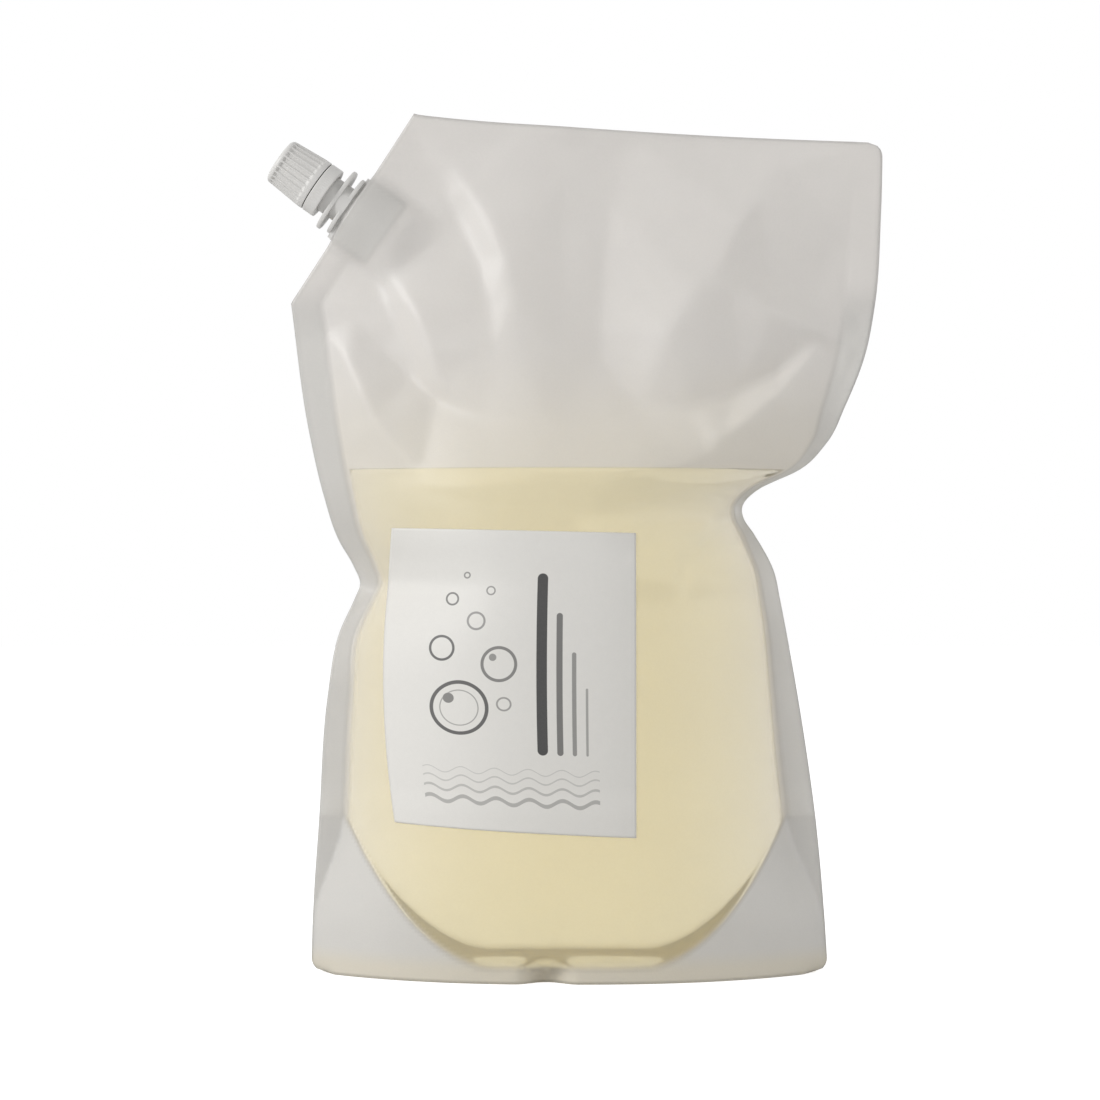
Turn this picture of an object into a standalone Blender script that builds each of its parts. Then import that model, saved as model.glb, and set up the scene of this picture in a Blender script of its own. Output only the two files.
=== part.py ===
"""A soap refill pack: a half-full stand-up pouch of frosted film, with a capped spout at one top corner.

The pouch stands on the floor at z = 0, its side seals lie near the plane y = 0, and its front faces -Y.
Sizes are in millimetres and are turned into metres as each mesh is made.
"""

import math

import bmesh
import bpy
import numpy as np

MM = 0.001

# Overall sizes of the pouch
PACK_WIDTH = 205.2
PACK_HEIGHT = 296.0
TOP_DROP = 10.0
BULGE = 38.0

# Film and seals
FILM = 0.2
CLEARANCE = 0.3
LEAF_GAP = 0.4
SKIN_GAP = 0.55
SIDE_SEAL = 9.5
CORNER_RADIUS = 5.0

# Folded base
GUSSET_HEIGHT = 54.0
BASE_SEAL = 5.0
GUSSET_SAG = 8.0
ARC_START = 0.33
ARC_POWER = 1.75

# Soap and label
SOAP_LEVEL = 173.0
LABEL_WIDTH = 82.0
LABEL_HEIGHT = 102.0
LABEL_LEFT = -66.0
LABEL_BOTTOM = 49.0
LABEL_BOW = 3.5
LABEL_LIFT = 4.0
LABEL_THICKNESS = 0.2

# Slanted corner that holds the spout, which keeps its size on a taller or lower pouch
SHOULDER_DROP = 65.4
SHOULDER_HEIGHT = PACK_HEIGHT - SHOULDER_DROP
SLANT_RUN = 42.4
SPOUT_TILT = 35.0
SEAT_ALONG = 38.2

# Spout, measured along its own axis from the film's edge
BOAT_LENGTH = 25.0
BOAT_THICKNESS = 11.6
BOAT_DEPTH = 15.0
BORE_RADIUS = 4.6
NECK_RADIUS = 6.6
THREAD_ROOT_RADIUS = 6.2
LOWER_FLANGE_AT = 1.3
UPPER_FLANGE_AT = 5.3
FLANGE_THICKNESS = 1.5
FLANGE_LENGTH = 23.3
FLANGE_WIDTH = 13.6
BAND_AT = 9.7
BAND_LENGTH = 4.55
CAP_RADIUS = 9.3
CAP_END_RADIUS = 8.3
CAP_LENGTH = 15.65
CAP_WALL = 1.4
THREAD_DEPTH = 0.9
BEAD_HEIGHT = 0.8
BEAD_LENGTH = 1.2
LIP_LENGTH = 1.0
BEAD_DROP = 2.4
COVER_MARGIN = 0.9
DISC_THICKNESS = 1.0
RIBS = 24
FLUTE_DEPTH = 0.55
COLLAR = 1.9
END_RIM = 1.6

# Shape of the outline: (share of the height, share of half the width), from the floor upwards
LEFT_EDGE = (
    (0.0, -0.931), (0.087, -0.923), (0.173, -0.906), (0.323, -0.876), (0.395, -0.839), (0.437, -0.786),
    (0.450, -0.772), (0.474, -0.795), (0.501, -0.839), (0.556, -0.891), (0.630, -0.940), (0.7790, -1.0),
)
RIGHT_EDGE = (
    (0.0, 0.812), (0.092, 0.795), (0.170, 0.774), (0.316, 0.714), (0.436, 0.651), (0.465, 0.635),
    (0.510, 0.570), (0.530, 0.535), (0.545, 0.535), (0.563, 0.587), (0.585, 0.721), (0.615, 0.809),
    (0.659, 0.872), (0.716, 0.937), (0.776, 0.972), (0.883, 0.993), (1.0, 1.0),
)
# How wide the side seals look: (share of the height, share of SIDE_SEAL)
LEFT_SEAL = (
    (0.0, 0.9), (0.22, 0.9), (0.33, 0.8), (0.39, 0.62), (0.44, 0.66), (0.5, 0.85), (0.56, 1.0), (1.0, 1.0),
)
RIGHT_SEAL = (
    (0.0, 1.0), (0.26, 1.0), (0.34, 0.82), (0.4, 0.66), (0.48, 0.56), (0.54, 0.3), (0.6, 0.5), (0.65, 0.8),
    (0.7, 1.0), (1.0, 1.0),
)
# How far each panel stands out along its middle: (share of the height, share of BULGE)
FULLNESS = (
    (0.0, 0.95), (0.1, 0.99), (0.2, 1.0), (0.33, 0.97), (0.45, 0.9), (0.53, 0.84), (0.6, 0.74), (0.7, 0.53),
    (0.8, 0.3), (0.9, 0.11), (0.97, 0.0), (1.0, 0.0),
)

# How far the side seals lean back where they buckle at the waist, as (amount, share of the height, reach)
RIGHT_BUCKLE = (11.0, 0.54, 0.13)
LEFT_BUCKLE = (7.0, 0.45, 0.12)
TOP_WAVE = 3.0
# Shallow hollows in the two films above the soap, as (share of the depth, place across, width, height, reach)
FRONT_HOLLOW = (0.22, 0.12, 0.45, 0.72, 0.16)
BACK_HOLLOW = (0.2, -0.1, 0.5, 0.75, 0.16)
# Powers of the films' bulge across the pouch: full below the soap's level, leaner above it
FULL_POWER = 2.5
LEAN_POWER = 2.0

# The share of the columns that lies between the side seals
INNER_SHARE = 0.9
# Grid lines of the films: rows of the base as shares of the gusset's height, then stretches as
# (share where it ends, number of cells in it): rows up from the gusset, and columns from the left side seal
# to the right one
BASE_ROWS = (0.0, 0.025, 0.07, 0.14, 0.33, 0.56, 0.78, 1.0)
ROW_BANDS = ((0.24, 5), (0.42, 7), (0.54, 9), (0.75, 5), (0.95, 11), (1.0, 2))
INNER_BANDS = ((0.28, 9), (1.0, 11))
SEAL_CELLS = 2
WEB_ROWS = (1.0, 0.9, 0.8, 0.7, 0.6, 0.3)


def bands(stretches):
    """The grid lines from 0 to 1 that the stretches give."""
    lines, start = [0.0], 0.0
    for end, count in stretches:
        lines += [start + (end - start) * (k + 1) / count for k in range(count)]
        start = end
    return np.array(lines)


def curve_through(points):
    """A smooth curve through the points, as a function that takes arrays."""
    at, value = np.array(points, float).T
    slope = np.gradient(value, at)

    def curve(x):
        x = np.clip(x, at[0], at[-1])
        k = np.clip(np.searchsorted(at, x, side="right") - 1, 0, len(at) - 2)
        span = at[k + 1] - at[k]
        s = (x - at[k]) / span
        rise = s * s * (3 - 2 * s)
        early = s * (1 - s) ** 2 * span * slope[k]
        late = s * s * (s - 1) * span * slope[k + 1]
        return value[k] * (1 - rise) + value[k + 1] * rise + early + late

    return curve


def smooth(x, low, high):
    """0 below low, 1 above high, and a soft step between them."""
    s = np.clip((x - low) / (high - low), 0.0, 1.0)
    return s * s * (3 - 2 * s)


def bump(x, middle, reach):
    """1 at the middle, fading to 0 at the reach on both sides."""
    return np.cos(np.clip((x - middle) / reach, -1.0, 1.0) * math.pi / 2) ** 2


left_share = curve_through(LEFT_EDGE)
right_share = curve_through(RIGHT_EDGE)
left_seal_share = curve_through(LEFT_SEAL)
right_seal_share = curve_through(RIGHT_SEAL)
fullness = curve_through(FULLNESS)

TILT = math.radians(SPOUT_TILT)
OUTWARD = np.array((-math.cos(TILT), math.sin(TILT)))
ACROSS = np.array((math.sin(TILT), math.cos(TILT)))
SHOULDER = np.array((-PACK_WIDTH / 2, SHOULDER_HEIGHT))
SLANT = np.array((SLANT_RUN, PACK_HEIGHT - SHOULDER_HEIGHT))
SLANT_UNIT = SLANT / np.linalg.norm(SLANT)
SEAT = SHOULDER + SLANT_UNIT * SEAT_ALONG


def left_edge(z):
    """x of the pouch's left edge: the curved side, then the slanted corner."""
    side = left_share(z / PACK_HEIGHT) * PACK_WIDTH / 2
    slant = SHOULDER[0] + (z - SHOULDER_HEIGHT) * SLANT[0] / SLANT[1]
    return np.where(z > SHOULDER_HEIGHT, slant, side)


def right_edge(z):
    """x of the pouch's right edge."""
    return right_share(z / PACK_HEIGHT) * PACK_WIDTH / 2


def round_corner(distance):
    """How far a rounded corner cuts in, at this distance from its straight edge."""
    lack = np.clip(CORNER_RADIUS - distance, 0.0, CORNER_RADIUS)
    return CORNER_RADIUS - np.sqrt(CORNER_RADIUS**2 - lack**2)


def place(u, z):
    """(x, t) of column u, which is -1 and 1 at the edges; t is -1 and 1 on the side seals' inner lines."""
    left, right = left_edge(z), right_edge(z)
    share = z / PACK_HEIGHT
    left_seal = SIDE_SEAL * left_seal_share(share)
    right_seal = SIDE_SEAL * right_seal_share(share)
    inner_left, inner_right = left + left_seal, right - right_seal
    t = u / INNER_SHARE
    inside = inner_left + (t + 1) / 2 * (inner_right - inner_left)
    out = (np.abs(u) - INNER_SHARE) / (1 - INNER_SHARE)
    outside_left = inner_left - out * (left_seal - round_corner(z))
    top_right = round_corner(PACK_HEIGHT - TOP_DROP - z)
    outside_right = inner_right + out * (right_seal - round_corner(z) - top_right)
    return np.where(t < -1, outside_left, np.where(t > 1, outside_right, inside)), t


def boat_cover(x, z):
    """Half the thickness that the film needs where it wraps the spout's weld base."""
    across = (x - SEAT[0]) * ACROSS[0] + (z - SEAT[1]) * ACROSS[1]
    inward = -(x - SEAT[0]) * OUTWARD[0] - (z - SEAT[1]) * OUTWARD[1]
    reach = BOAT_LENGTH / 2 + 2.5
    lens = np.clip(1 - (across / reach) ** 2, 0.0, 1.0)
    return (BOAT_THICKNESS / 2 + COVER_MARGIN) * lens * (1 - smooth(inward, BOAT_DEPTH + 2, BOAT_DEPTH + 22))


def sway(u, z):
    """How far both films lean to the back, as the seals buckle at the waist and the flat top waves."""
    share = z / PACK_HEIGHT
    right = RIGHT_BUCKLE[0] * bump(share, *RIGHT_BUCKLE[1:]) * smooth(u, 0.2, 1.0)
    left = LEFT_BUCKLE[0] * bump(share, *LEFT_BUCKLE[1:]) * smooth(-u, 0.3, 1.0)
    top = TOP_WAVE * np.sin(2.6 * u + 0.5) * smooth(share, 0.6, 0.95) * (1 - boat_zone(u, share))
    return right + left + top


def boat_zone(u, share):
    """1 round the spout, where the films stay straight, and 0 elsewhere."""
    return (1 - smooth(u, -0.62, -0.3)) * smooth(share, 0.74, 0.8)


def film_point(side, u, z):
    """The middle of the front (side -1) or back (side 1) film, as an array of points."""
    x, t = place(u, z)
    share = z / PACK_HEIGHT
    gusset_leaves = 1 - smooth(z, GUSSET_HEIGHT + 2, GUSSET_HEIGHT + 12)
    seal = CLEARANCE / 2 + FILM / 2 + (FILM + LEAF_GAP) * gusset_leaves
    power = FULL_POWER + (LEAN_POWER - FULL_POWER) * smooth(share, 0.45, 0.7)
    reach = 1 - (1 - INNER_SHARE) * smooth(z, GUSSET_HEIGHT * 0.25, GUSSET_HEIGHT)
    lens = 1 - np.clip(np.abs(u) / reach, 0.0, 1.0) ** power
    amount, across, width, up, reach_up = FRONT_HOLLOW if side < 0 else BACK_HOLLOW
    hollow = amount * bump(t, across, width) * bump(share, up, reach_up)
    depth = BULGE * fullness(share) * lens * (1 - hollow)
    cover = boat_cover(x, z)
    y = seal + np.sqrt(depth**2 + cover**2)
    return np.stack([x, side * y + sway(u, z), z], axis=-1)


def film_normal(side, u, z):
    """The film's outward normal, from points a little to each side."""
    step_u, step_z = 0.004, 0.5
    low, high = np.maximum(z - step_z, 0.0), np.minimum(z + step_z, PACK_HEIGHT)
    along_u = film_point(side, u + step_u, z) - film_point(side, u - step_u, z)
    along_z = film_point(side, u, high) - film_point(side, u, low)
    normal = np.cross(along_u, along_z)
    normal /= np.linalg.norm(normal, axis=-1, keepdims=True)
    return normal * np.sign(side * normal[..., 1:2])


def inside_film(side, u, z, inset):
    """Points this far inside the film, moved level so that each keeps its height."""
    level = film_normal(side, u, z) * (1.0, 1.0, 0.0)
    return film_point(side, u, z) - level * inset / np.sum(level**2, axis=-1, keepdims=True)


def arc_height(u):
    """Height of the base seal's curved inner line: low in the middle, as high as the gusset at the sides."""
    t = np.clip(np.abs(u) / INNER_SHARE, 0.0, 1.0)
    rise = np.clip((t - ARC_START) / (1 - ARC_START), 0.0, 1.0) ** ARC_POWER
    return BASE_SEAL + (GUSSET_HEIGHT - BASE_SEAL) * rise


def floor_height(u):
    """Height of the gusset along its middle fold: flat on the floor, then rising with the arc."""
    t = np.clip(np.abs(u) / INNER_SHARE, 0.0, 1.0)
    sag = GUSSET_SAG * (1 - smooth(t, 0.85, 1.0))
    return np.maximum(arc_height(u) - sag, FILM / 2)


def leaf_point(side, u, share):
    """The gusset's leaf on one side, inside the film, at a share of the way up to the arc."""
    z = arc_height(u) * share
    return film_point(side, u, z) - film_normal(side, u, z) * (FILM + LEAF_GAP)


def web_point(side, u, share):
    """The gusset's web on one side, from the middle fold (0) to the arc (1), flat on the floor up to 0.6."""
    arc, floor, middle = arc_height(u), floor_height(u), sway(u, arc_height(u))
    start = leaf_point(side, u, 1.0)
    height = floor + (arc - floor) * np.clip((share - 0.6) / 0.4, 0.0, 1.0) ** 2
    x = place(u, height)[0] + (start[..., 0] - place(u, arc)[0]) * share
    return np.stack([x, middle + (start[..., 1] - middle) * share, height], axis=-1)


def gusset_half(side, u):
    """Rows of the gusset on one side, from its lower edge, just off the floor, to beside the middle fold."""
    leaf = [leaf_point(side, u, share) for share in BASE_ROWS[:-1]]
    lift = CLEARANCE / np.maximum(leaf[1][:, 2], 2 * CLEARANCE)
    leaf[0] = leaf[0] + (leaf[1] - leaf[0]) * lift[:, None]
    return leaf + [web_point(side, u, share) for share in WEB_ROWS]


def columns():
    """The films' columns, fine at the spout's side."""
    seal = (1 - INNER_SHARE) * np.arange(SEAL_CELLS) / SEAL_CELLS
    inner = -INNER_SHARE + 2 * INNER_SHARE * bands(INNER_BANDS)
    return np.concatenate([-1 + seal, inner, 1 - seal[::-1]])


def rows():
    """The films' rows as shares of the height, with the nearest one moved to the soap's level."""
    top_of_base = GUSSET_HEIGHT / PACK_HEIGHT
    base = np.array(BASE_ROWS[:-1]) * top_of_base
    lines = np.concatenate([base, top_of_base + (1 - top_of_base) * bands(ROW_BANDS)])
    level = SOAP_LEVEL / PACK_HEIGHT
    lines[np.argmin(np.abs(lines - level))] = level
    return lines


def panel_grid(side):
    """Points on the film's middle, row by row from the floor. The top edge falls towards the right."""
    u, v = np.meshgrid(columns(), rows())
    drop = TOP_DROP * ((u + 1) / 2) ** 0.7 * smooth(v, SOAP_LEVEL / PACK_HEIGHT + 0.04, 1.0)
    return film_point(side, u, v * (PACK_HEIGHT - drop))


def new_object(name, mesh, material, parent):
    obj = bpy.data.objects.new(name, mesh)
    obj.data.materials.append(material)
    obj.parent = parent
    bpy.context.scene.collection.objects.link(obj)
    return obj


def mesh_of(name, points, faces):
    """A mesh in metres from points in millimetres, with its faces turned outwards and shaded smooth."""
    mesh = bpy.data.meshes.new(name)
    mesh.from_pydata([tuple(p * MM) for p in np.asarray(points, float)], [], faces)
    build = bmesh.new()
    build.from_mesh(mesh)
    bmesh.ops.remove_doubles(build, verts=build.verts, dist=1e-7)
    bmesh.ops.recalc_face_normals(build, faces=build.faces)
    build.to_mesh(mesh)
    build.free()
    mesh.shade_smooth()
    mesh.set_sharp_from_angle(angle=math.radians(50))
    return mesh


def rising_triangles(points, quads):
    """Cuts each quad along the diagonal rising to the right, so films that lie together are cut alike."""
    a, b, c, d = np.asarray(quads).T
    across, other = points[c] - points[a], points[d] - points[b]
    first = across[:, 0] * across[:, 2] >= other[:, 0] * other[:, 2]
    one = np.where(first, [a, b, c], [b, c, d]).T
    two = np.where(first, [a, c, d], [b, d, a]).T
    return np.concatenate([one, two]).tolist()


def sheet(name, grid, thickness):
    """A closed thin solid whose middle is the grid of points."""
    rows, cols = grid.shape[:2]
    normal = np.cross(np.gradient(grid, axis=1), np.gradient(grid, axis=0))
    normal /= np.linalg.norm(normal, axis=-1, keepdims=True)
    outer = (grid + normal * thickness / 2).reshape(-1, 3)
    inner = (grid - normal * thickness / 2).reshape(-1, 3)
    for side in (outer, inner):
        side[:, 2] = np.maximum(side[:, 2], 0.0)
    index = np.arange(rows * cols).reshape(rows, cols)
    corners = [index[:-1, :-1], index[:-1, 1:], index[1:, 1:], index[1:, :-1]]
    quads = np.stack(corners, axis=-1).reshape(-1, 4)
    back = quads[:, ::-1] + rows * cols
    rim = np.concatenate([index[0, :-1], index[:-1, -1], index[-1, :0:-1], index[:0:-1, 0]])
    follow = np.roll(rim, -1)
    side = np.stack([follow, rim, rim + rows * cols, follow + rows * cols], axis=-1)
    points = np.concatenate([outer, inner])
    return mesh_of(name, points, rising_triangles(points, np.concatenate([quads, back])) + side.tolist())


def gusset_mesh():
    """The base film: leaf up the front seal, web across, leaf down the back seal."""
    u = columns()
    grid = gusset_half(-1, u) + [web_point(-1, u, 0.0)] + gusset_half(1, u)[::-1]
    return sheet("bottom_gusset", np.stack(grid), FILM)


def soap_mesh():
    """The soap: rings of points up the front film, across the level, down the back and over the gusset."""
    reach = 0.985 * INNER_SHARE
    inner_columns = columns()[SEAL_CELLS + 1:-SEAL_CELLS - 1]
    stations = np.concatenate([[-reach], inner_columns, [reach]])
    inset = FILM / 2 + SKIN_GAP
    foot = GUSSET_HEIGHT + 2.0
    upper = [z for z in rows() * PACK_HEIGHT if foot + 2 < z < SOAP_LEVEL - 0.1] + [SOAP_LEVEL]
    across = np.array([0.8, 0.6, 0.0, -0.6, -0.8])
    rings = []
    for u in stations:
        bottom = arc_height(u) + 3 * inset
        z = np.concatenate([bottom + (foot - bottom) * np.linspace(0.0, 1.0, 7), upper])
        column = np.full_like(z, u)
        front, back = inside_film(-1, column, z, inset), inside_film(1, column, z, inset)
        over = [front[-1] * (1 + q) / 2 + back[-1] * (1 - q) / 2 for q in across]
        lift = np.array((0.0, 0.0, 2 * inset))
        under = [web_point(-1 if q >= 0 else 1, np.array([u]), abs(q))[0] + lift for q in across]
        rings.append(np.concatenate([front, np.array(over), back[::-1], np.array(under[::-1])]))
    count = len(rings[0])
    points = np.concatenate(rings)
    start = np.arange(len(rings) - 1)[:, None] * count
    a, b = start + np.arange(count), start + np.roll(np.arange(count), -1)
    faces = rising_triangles(points, np.stack([a, b, b + count, a + count], axis=-1).reshape(-1, 4))
    n = len(z)
    m = len(across)
    for s in (0, len(rings) - 1):
        base = s * count
        front = [base + k for k in range(n)]
        back = [base + 2 * n + m - 1 - k for k in range(n)]
        faces += [[front[k], front[k + 1], back[k + 1], back[k]] for k in range(1, n - 2)]
        faces.append([front[n - 2], *range(base + n - 1, base + n + m + 1), back[n - 2]])
        faces.append([front[1], back[1], *range(base + 2 * n + m - 1, base + count), front[0]])
    return mesh_of("liquid_soap", points, faces)


def label_mesh():
    """The paper label, wrapped on the front film."""
    top = LABEL_BOTTOM + LABEL_HEIGHT
    level_rows = [z for z in rows() * PACK_HEIGHT if LABEL_BOTTOM + 6 < z < top - 0.5]
    a, z = np.meshgrid(np.linspace(0.0, 1.0, 11), [LABEL_BOTTOM, *level_rows, top])
    z[0] += LABEL_LIFT * (1 - a[0])
    z[-1] += LABEL_LIFT / 2 * (1 - a[-1])
    b = (z - LABEL_BOTTOM) / LABEL_HEIGHT
    x = LABEL_LEFT + LABEL_WIDTH * a - LABEL_BOW * (1 - a) * (1 - (2 * b - 1.1) ** 2)
    left, right = place(np.full_like(z, -INNER_SHARE), z)[0], place(np.full_like(z, INNER_SHARE), z)[0]
    u = INNER_SHARE * (2 * (x - left) / (right - left) - 1)
    lift = FILM / 2 + SKIN_GAP + LABEL_THICKNESS / 2
    return sheet("label", film_point(-1, u, z) + film_normal(-1, u, z) * lift, LABEL_THICKNESS)


def turned(name, profile, segments, flute=None):
    """A round piece: the closed profile of (radius, height) points is turned about the local Z axis."""
    points, count = [], len(profile)
    for k in range(segments):
        angle = 2 * math.pi * k / segments
        for radius, height in profile:
            r = radius - (flute(k, height) if flute and radius > CAP_END_RADIUS - FLUTE_DEPTH else 0.0)
            points.append((r * math.cos(angle), r * math.sin(angle), height))
    faces = []
    for k in range(segments):
        a, b = k * count, (k + 1) % segments * count
        for j in range(count):
            if profile[j][0] == 0 and profile[(j + 1) % count][0] == 0:
                continue
            i = (j + 1) % count
            faces.append([a + j, b + j, b + i, a + i])
    return mesh_of(name, points, faces)


def plate_outline(length, width, count=8):
    """Points round a flat plate with half-round ends, long along local X."""
    straight = (length - width) / 2
    points = []
    for end in (1, -1):
        for k in range(count + 1):
            angle = -math.pi / 2 + math.pi * k / count
            points.append((end * (straight + width / 2 * math.cos(angle)), end * width / 2 * math.sin(angle)))
    return points


def boat_outline(length, thickness, count=10):
    """Points round the lens-shaped weld base, long along local X, with blunt tips 1 mm thick."""
    tip = 0.5
    points = []
    for end in (1, -1):
        for k in range(count + 1):
            x = -1 + 2 * k / count
            points.append((-end * x * length / 2, end * (tip + (thickness / 2 - tip) * (1 - x * x))))
    return points


def prism(name, outline, low, high):
    """A flat plate with this outline, from low to high along local Z."""
    n = len(outline)
    points = [(x, y, low) for x, y in outline] + [(x, y, high) for x, y in outline]
    sides = [[k, (k + 1) % n, (k + 1) % n + n, k + n] for k in range(n)]
    return mesh_of(name, points, [list(range(n))[::-1], list(range(n, 2 * n)), *sides])


def boolean(obj, other, operation):
    """Joins or cuts with a helper object, which stays hidden."""
    other.hide_render = True
    other.display_type = "WIRE"
    modifier = obj.modifiers.new(other.name, "BOOLEAN")
    modifier.operation = operation
    modifier.object = other


def material(name, colour, roughness, alpha=1.0):
    made = bpy.data.materials.new(name)
    made.use_nodes = True
    shader = made.node_tree.nodes["Principled BSDF"]
    shader.inputs["Base Color"].default_value = (*colour, 1.0)
    shader.inputs["Roughness"].default_value = roughness
    shader.inputs["Metallic"].default_value = 0.0
    shader.inputs["Alpha"].default_value = alpha
    return made


def empty(name, parent, location=(0.0, 0.0, 0.0), turn=0.0):
    made = bpy.data.objects.new(name, None)
    made.parent = parent
    made.location = [value * MM for value in location]
    made.rotation_euler = (0.0, turn, 0.0)
    bpy.context.scene.collection.objects.link(made)
    return made


def spout_objects(axis, white):
    """The spout: neck, bead and bore turned as one, joined to two flanges and to its weld base."""
    mouth = BAND_AT + BAND_LENGTH + CLEARANCE + CAP_LENGTH - CAP_WALL - DISC_THICKNESS - 2 * CLEARANCE
    bead = BAND_AT + BAND_LENGTH - BEAD_DROP
    bead_radius = NECK_RADIUS + BEAD_HEIGHT
    thread_start = BAND_AT + BAND_LENGTH + 0.3
    profile = [
        (BORE_RADIUS, -BOAT_DEPTH - 1.0), (BORE_RADIUS, mouth), (THREAD_ROOT_RADIUS - 0.4, mouth),
        (THREAD_ROOT_RADIUS, mouth - 0.4), (THREAD_ROOT_RADIUS, thread_start),
        (NECK_RADIUS, thread_start - 0.4), (NECK_RADIUS, bead + BEAD_LENGTH),
        (bead_radius, bead + BEAD_LENGTH / 2), (bead_radius, bead), (NECK_RADIUS, bead),
        (NECK_RADIUS, LOWER_FLANGE_AT), (BORE_RADIUS + 1.0, LOWER_FLANGE_AT),
        (BORE_RADIUS + 1.0, -BOAT_DEPTH - 1.0),
    ]
    spout = new_object("spout", turned("spout", profile, 36), white, axis)
    flange = plate_outline(FLANGE_LENGTH, FLANGE_WIDTH)
    lower = plate_outline(FLANGE_LENGTH - 1.4, FLANGE_WIDTH - 1.4)
    boat = boat_outline(BOAT_LENGTH, BOAT_THICKNESS)
    joined = [
        prism("upper_flange_shape", flange, UPPER_FLANGE_AT, UPPER_FLANGE_AT + FLANGE_THICKNESS),
        prism("lower_flange_shape", lower, LOWER_FLANGE_AT, LOWER_FLANGE_AT + FLANGE_THICKNESS),
        prism("weld_base_shape", boat, -BOAT_DEPTH, LOWER_FLANGE_AT + 0.2),
    ]
    for mesh in joined:
        boolean(spout, new_object(mesh.name, mesh, white, axis), "UNION")
    angles = [math.pi * k / 24 for k in range(48)]
    ring = [(BORE_RADIUS * math.cos(angle), BORE_RADIUS * math.sin(angle)) for angle in angles]
    bore = prism("bore_shape", ring, -BOAT_DEPTH - 3.0, mouth + 3.0)
    boolean(spout, new_object("bore_shape", bore, white, axis), "DIFFERENCE")
    return mouth


def band_object(axis, white):
    """The tamper band, with a lip that catches under the neck's bead."""
    inner = NECK_RADIUS + BEAD_HEIGHT + CLEARANCE
    lip = NECK_RADIUS + CLEARANCE
    outer = CAP_RADIUS
    profile = [
        (lip, BAND_AT), (outer - 0.2, BAND_AT), (outer, BAND_AT + 0.2),
        (outer, BAND_AT + BAND_LENGTH - 0.2), (outer - 0.2, BAND_AT + BAND_LENGTH),
        (inner, BAND_AT + BAND_LENGTH), (inner, BAND_AT + LIP_LENGTH + 0.3), (lip, BAND_AT + LIP_LENGTH),
    ]
    new_object("tamper_band", turned("tamper_band", profile, 36), white, axis)


def cap_objects(axis, white, pale):
    """The ribbed cap and the liner under its end wall, both built on the joint's axis."""
    start = BAND_AT + BAND_LENGTH + CLEARANCE
    end = start + CAP_LENGTH
    holder = empty("cap_axis", axis, (0.0, 0.0, start))
    length = CAP_LENGTH
    bore = THREAD_ROOT_RADIUS + THREAD_DEPTH + CLEARANCE
    flute_start, flute_end = COLLAR, length - END_RIM

    def flute(k, height):
        in_flutes = flute_start + 0.2 < height < flute_end - 0.2
        return FLUTE_DEPTH if in_flutes and k % 4 in (1, 2) else 0.0

    def outside(height):
        return CAP_RADIUS + (CAP_END_RADIUS - CAP_RADIUS) * max(height - COLLAR, 0.0) / (length - COLLAR)

    profile = [
        (bore, 0.0), (CAP_RADIUS - 0.2, 0.0), (CAP_RADIUS, 0.2), (CAP_RADIUS, flute_start),
        (outside(flute_start + 0.5), flute_start + 0.5), (outside(flute_end - 0.5), flute_end - 0.5),
        (outside(flute_end), flute_end), (CAP_END_RADIUS - 0.35, length - 0.6),
        (CAP_END_RADIUS - 1.4, length), (0.0, length), (0.0, length - CAP_WALL), (bore, length - CAP_WALL),
    ]
    new_object("cap", turned("cap", profile, 4 * RIBS, flute), white, holder)
    high = length - CAP_WALL - CLEARANCE
    low, rim = high - DISC_THICKNESS, bore - CLEARANCE
    disc = [(0.0, low), (rim, low), (rim, high), (0.0, high)]
    new_object("cap_seal_disc", turned("cap_seal_disc", disc, 32), pale, holder)
    return end


def centre_on_origin(pack):
    """Moves the pack so that the origin lies under the middle of its box, on the floor."""
    bpy.context.view_layer.update()
    graph = bpy.context.evaluated_depsgraph_get()
    points = []
    for obj in bpy.data.objects:
        if obj.type == "MESH" and not obj.hide_render:
            solid = obj.evaluated_get(graph)
            points += [obj.matrix_world @ vertex.co for vertex in solid.data.vertices]
    points = np.array(points)
    middle = (points.min(axis=0) + points.max(axis=0)) / 2
    pack.location = (-middle[0], -middle[1], 0.0)


def main():
    for obj in list(bpy.data.objects):
        bpy.data.objects.remove(obj)
    film = material("frosted film", (0.62, 0.60, 0.57), 0.45, 0.55)
    white = material("white plastic", (0.80, 0.79, 0.77), 0.4)
    pale = material("pale foam", (0.85, 0.84, 0.80), 0.7)
    paper = material("label paper", (0.78, 0.77, 0.74), 0.6)
    soap = material("pale yellow soap", (0.72, 0.62, 0.36), 0.1, 0.8)
    pack = empty("pack", None)
    new_object("front_panel", sheet("front_panel", panel_grid(-1), FILM), film, pack)
    new_object("back_panel", sheet("back_panel", panel_grid(1), FILM), film, pack)
    new_object("bottom_gusset", gusset_mesh(), film, pack)
    new_object("liquid_soap", soap_mesh(), soap, pack)
    new_object("label", label_mesh(), paper, pack)
    axis = empty("spout_axis", pack, (SEAT[0], 0.0, SEAT[1]), TILT - math.pi / 2)
    spout_objects(axis, white)
    band_object(axis, white)
    cap_objects(axis, white, pale)
    centre_on_origin(pack)


main()
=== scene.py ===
# %% [markdown]
# # A half-full soap refill pack
# The object is a stand-up pouch of frosted film with a label, a pale yellow soap inside and a screw cap on a
# slanted corner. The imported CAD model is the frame: it fixes sizes and joints. This lesson rebuilds each
# piece on a finer grid, with the folds, print and plastics that the plain solids leave out.

# %% Load the frame
import math

import bmesh
import bpy
import numpy as np
from mathutils import Matrix, Vector
from mathutils.geometry import delaunay_2d_cdt


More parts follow.
